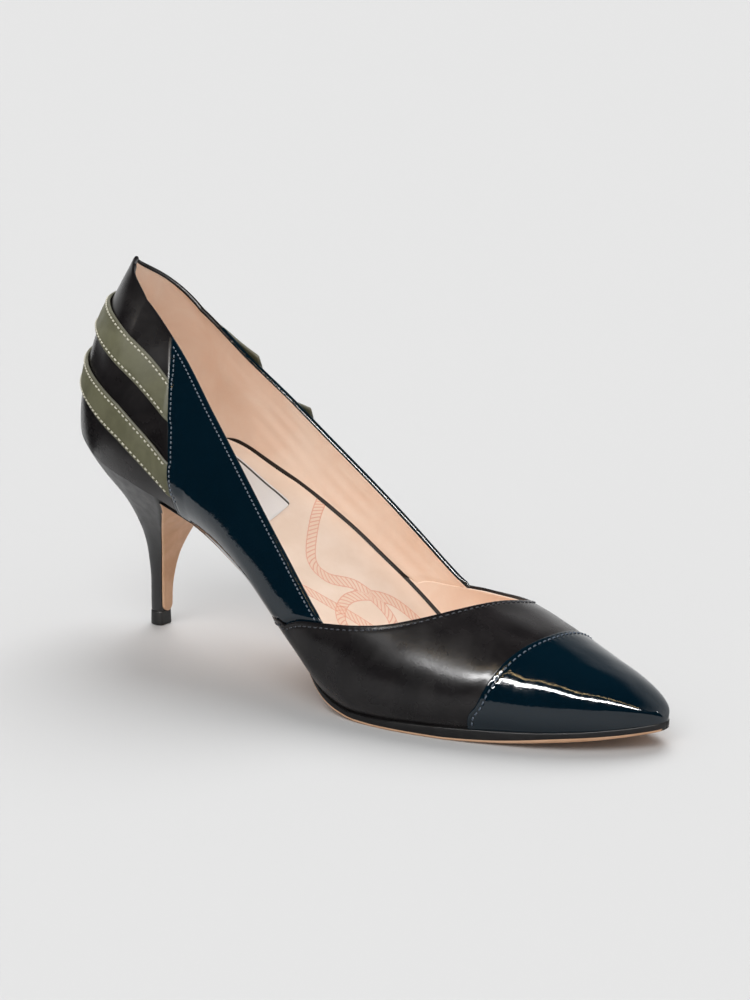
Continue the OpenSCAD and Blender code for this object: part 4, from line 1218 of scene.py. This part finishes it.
def make_floor():
    corners = [(-FLOOR_REACH, -FLOOR_REACH), (FLOOR_REACH, -FLOOR_REACH), (FLOOR_REACH, FLOOR_REACH),
               (-FLOOR_REACH, FLOOR_REACH)]
    points = [(*corner, FLOOR * MM) for corner in corners]
    add_stage("studio_floor", points, [(0, 1, 2, 3)], matt("studio_floor", 0.598), False)


def add_lamp(name, kind, towards, **settings):
    """A light that shines in a direction."""
    light = bpy.data.lights.new(name, kind)
    for key, value in settings.items():
        setattr(light, key, value)
    lamp = link(name, light)
    lamp.rotation_euler = Vector(towards).to_track_quat("-Z", "Y").to_euler()
    return lamp


def add_sun(name, energy, spread_degrees, towards):
    lamp = add_lamp(name, "SUN", towards, energy=energy, angle=math.radians(spread_degrees))
    lamp.visible_glossy = False


def add_reflected(name, azimuth, elevation, wide, high, radiance, colour=(1, 1, 1)):
    """A softbox that shows only in gloss, at a bearing from the toe's middle."""
    turn, tilt = math.radians(azimuth), math.radians(elevation)
    aim = Vector((0.075, -0.01, 0.03))
    bearing = (math.cos(turn) * math.cos(tilt), math.sin(turn) * math.cos(tilt), math.sin(tilt))
    place = aim + SOFTBOX_REACH * Vector(bearing)
    lamp = add_lamp(name, "AREA", aim - place, shape="RECTANGLE", size=wide, size_y=high,
                    energy=radiance * wide * high * math.pi, color=colour)
    lamp.location = place
    lamp.visible_diffuse = False
    lamp.visible_camera = False


def make_flag():
    """Black card round the near side: what the patent mirrors beyond the pale table near the shoe."""
    count, high = 60, 0.115
    angle = np.radians(np.linspace(-190, 30, count))
    ring = np.stack([0.01 + 0.27 * np.cos(angle), 0.235 * np.sin(angle), 0 * angle], -1)
    points = np.concatenate([ring, ring + [0, 0, high]]).tolist()
    faces = quads(np.arange(2 * count).reshape(2, count)).tolist()
    add_stage("studio_flag", points, faces, matt("studio_flag", 0), True)


def make_backdrop():
    """Pale wall behind the shoe, fading upwards, that shows only in gloss."""
    rows, cols = 12, 60
    levels = np.linspace(0, BACKDROP_HIGH, rows)
    angles = np.radians(np.linspace(15, 205, cols))
    points = [(BACKDROP_REACH * np.cos(a), BACKDROP_REACH * np.sin(a), z) for z in levels for a in angles]
    faces = quads(np.arange(rows * cols).reshape(rows, cols)).tolist()
    look = matt("studio_backdrop", 0, Emission_Color=(1, 1, 1))
    height = look.node("SeparateXYZ", {0: look.place}).outputs[2]
    look.set("Emission Strength", look.band(height, 0.2, BACKDROP_HIGH * 0.8, 0.95, 0.0))
    add_stage("studio_backdrop", points, faces, look, True)


def make_light():
    world = bpy.data.worlds.new("studio")
    bpy.context.scene.world = world
    world.use_nodes = True
    background = world.node_tree.nodes["Background"]
    background.inputs["Color"].default_value = (1, 1, 1, 1)
    background.inputs["Strength"].default_value = 0.45
    world.cycles_visibility.glossy = False
    add_sun("soft_key", 2.2, 42, (0.35, -0.6, -1))
    add_sun("soft_fill", 1.2, 45, (-0.1, 0.6, -0.8))
    add_reflected("strip_softbox", -46, 38, 2.3, 0.13, 95)
    add_reflected("warm_strip", -44, 53.5, 2.2, 0.03, 22, (1, 0.72, 0.35))
    add_reflected("small_softbox", 40, 27, 0.1, 0.1, 50)


def make_camera():
    """The main view: from the toe's lateral side, a little above."""
    data = bpy.data.cameras.new("camera")
    data.lens = 84.9
    data.sensor_width = 36
    data.shift_x, data.shift_y = 0.0177, 0.0085
    data.clip_end = 100
    camera = link("camera", data)
    turn, height, distance = math.radians(38.1), math.radians(15.35), 0.810
    level = math.cos(height)
    view = Vector((-math.sin(turn) * level, math.cos(turn) * level, -math.sin(height)))
    camera.location = Vector((2, MIDDLE, 60)) * MM - view * distance
    camera.rotation_euler = view.to_track_quat("-Z", "Y").to_euler()
    bpy.context.scene.camera = camera


make_floor()
make_flag()
make_backdrop()
make_light()
make_camera()
bpy.context.scene.view_settings.view_transform = "Standard"
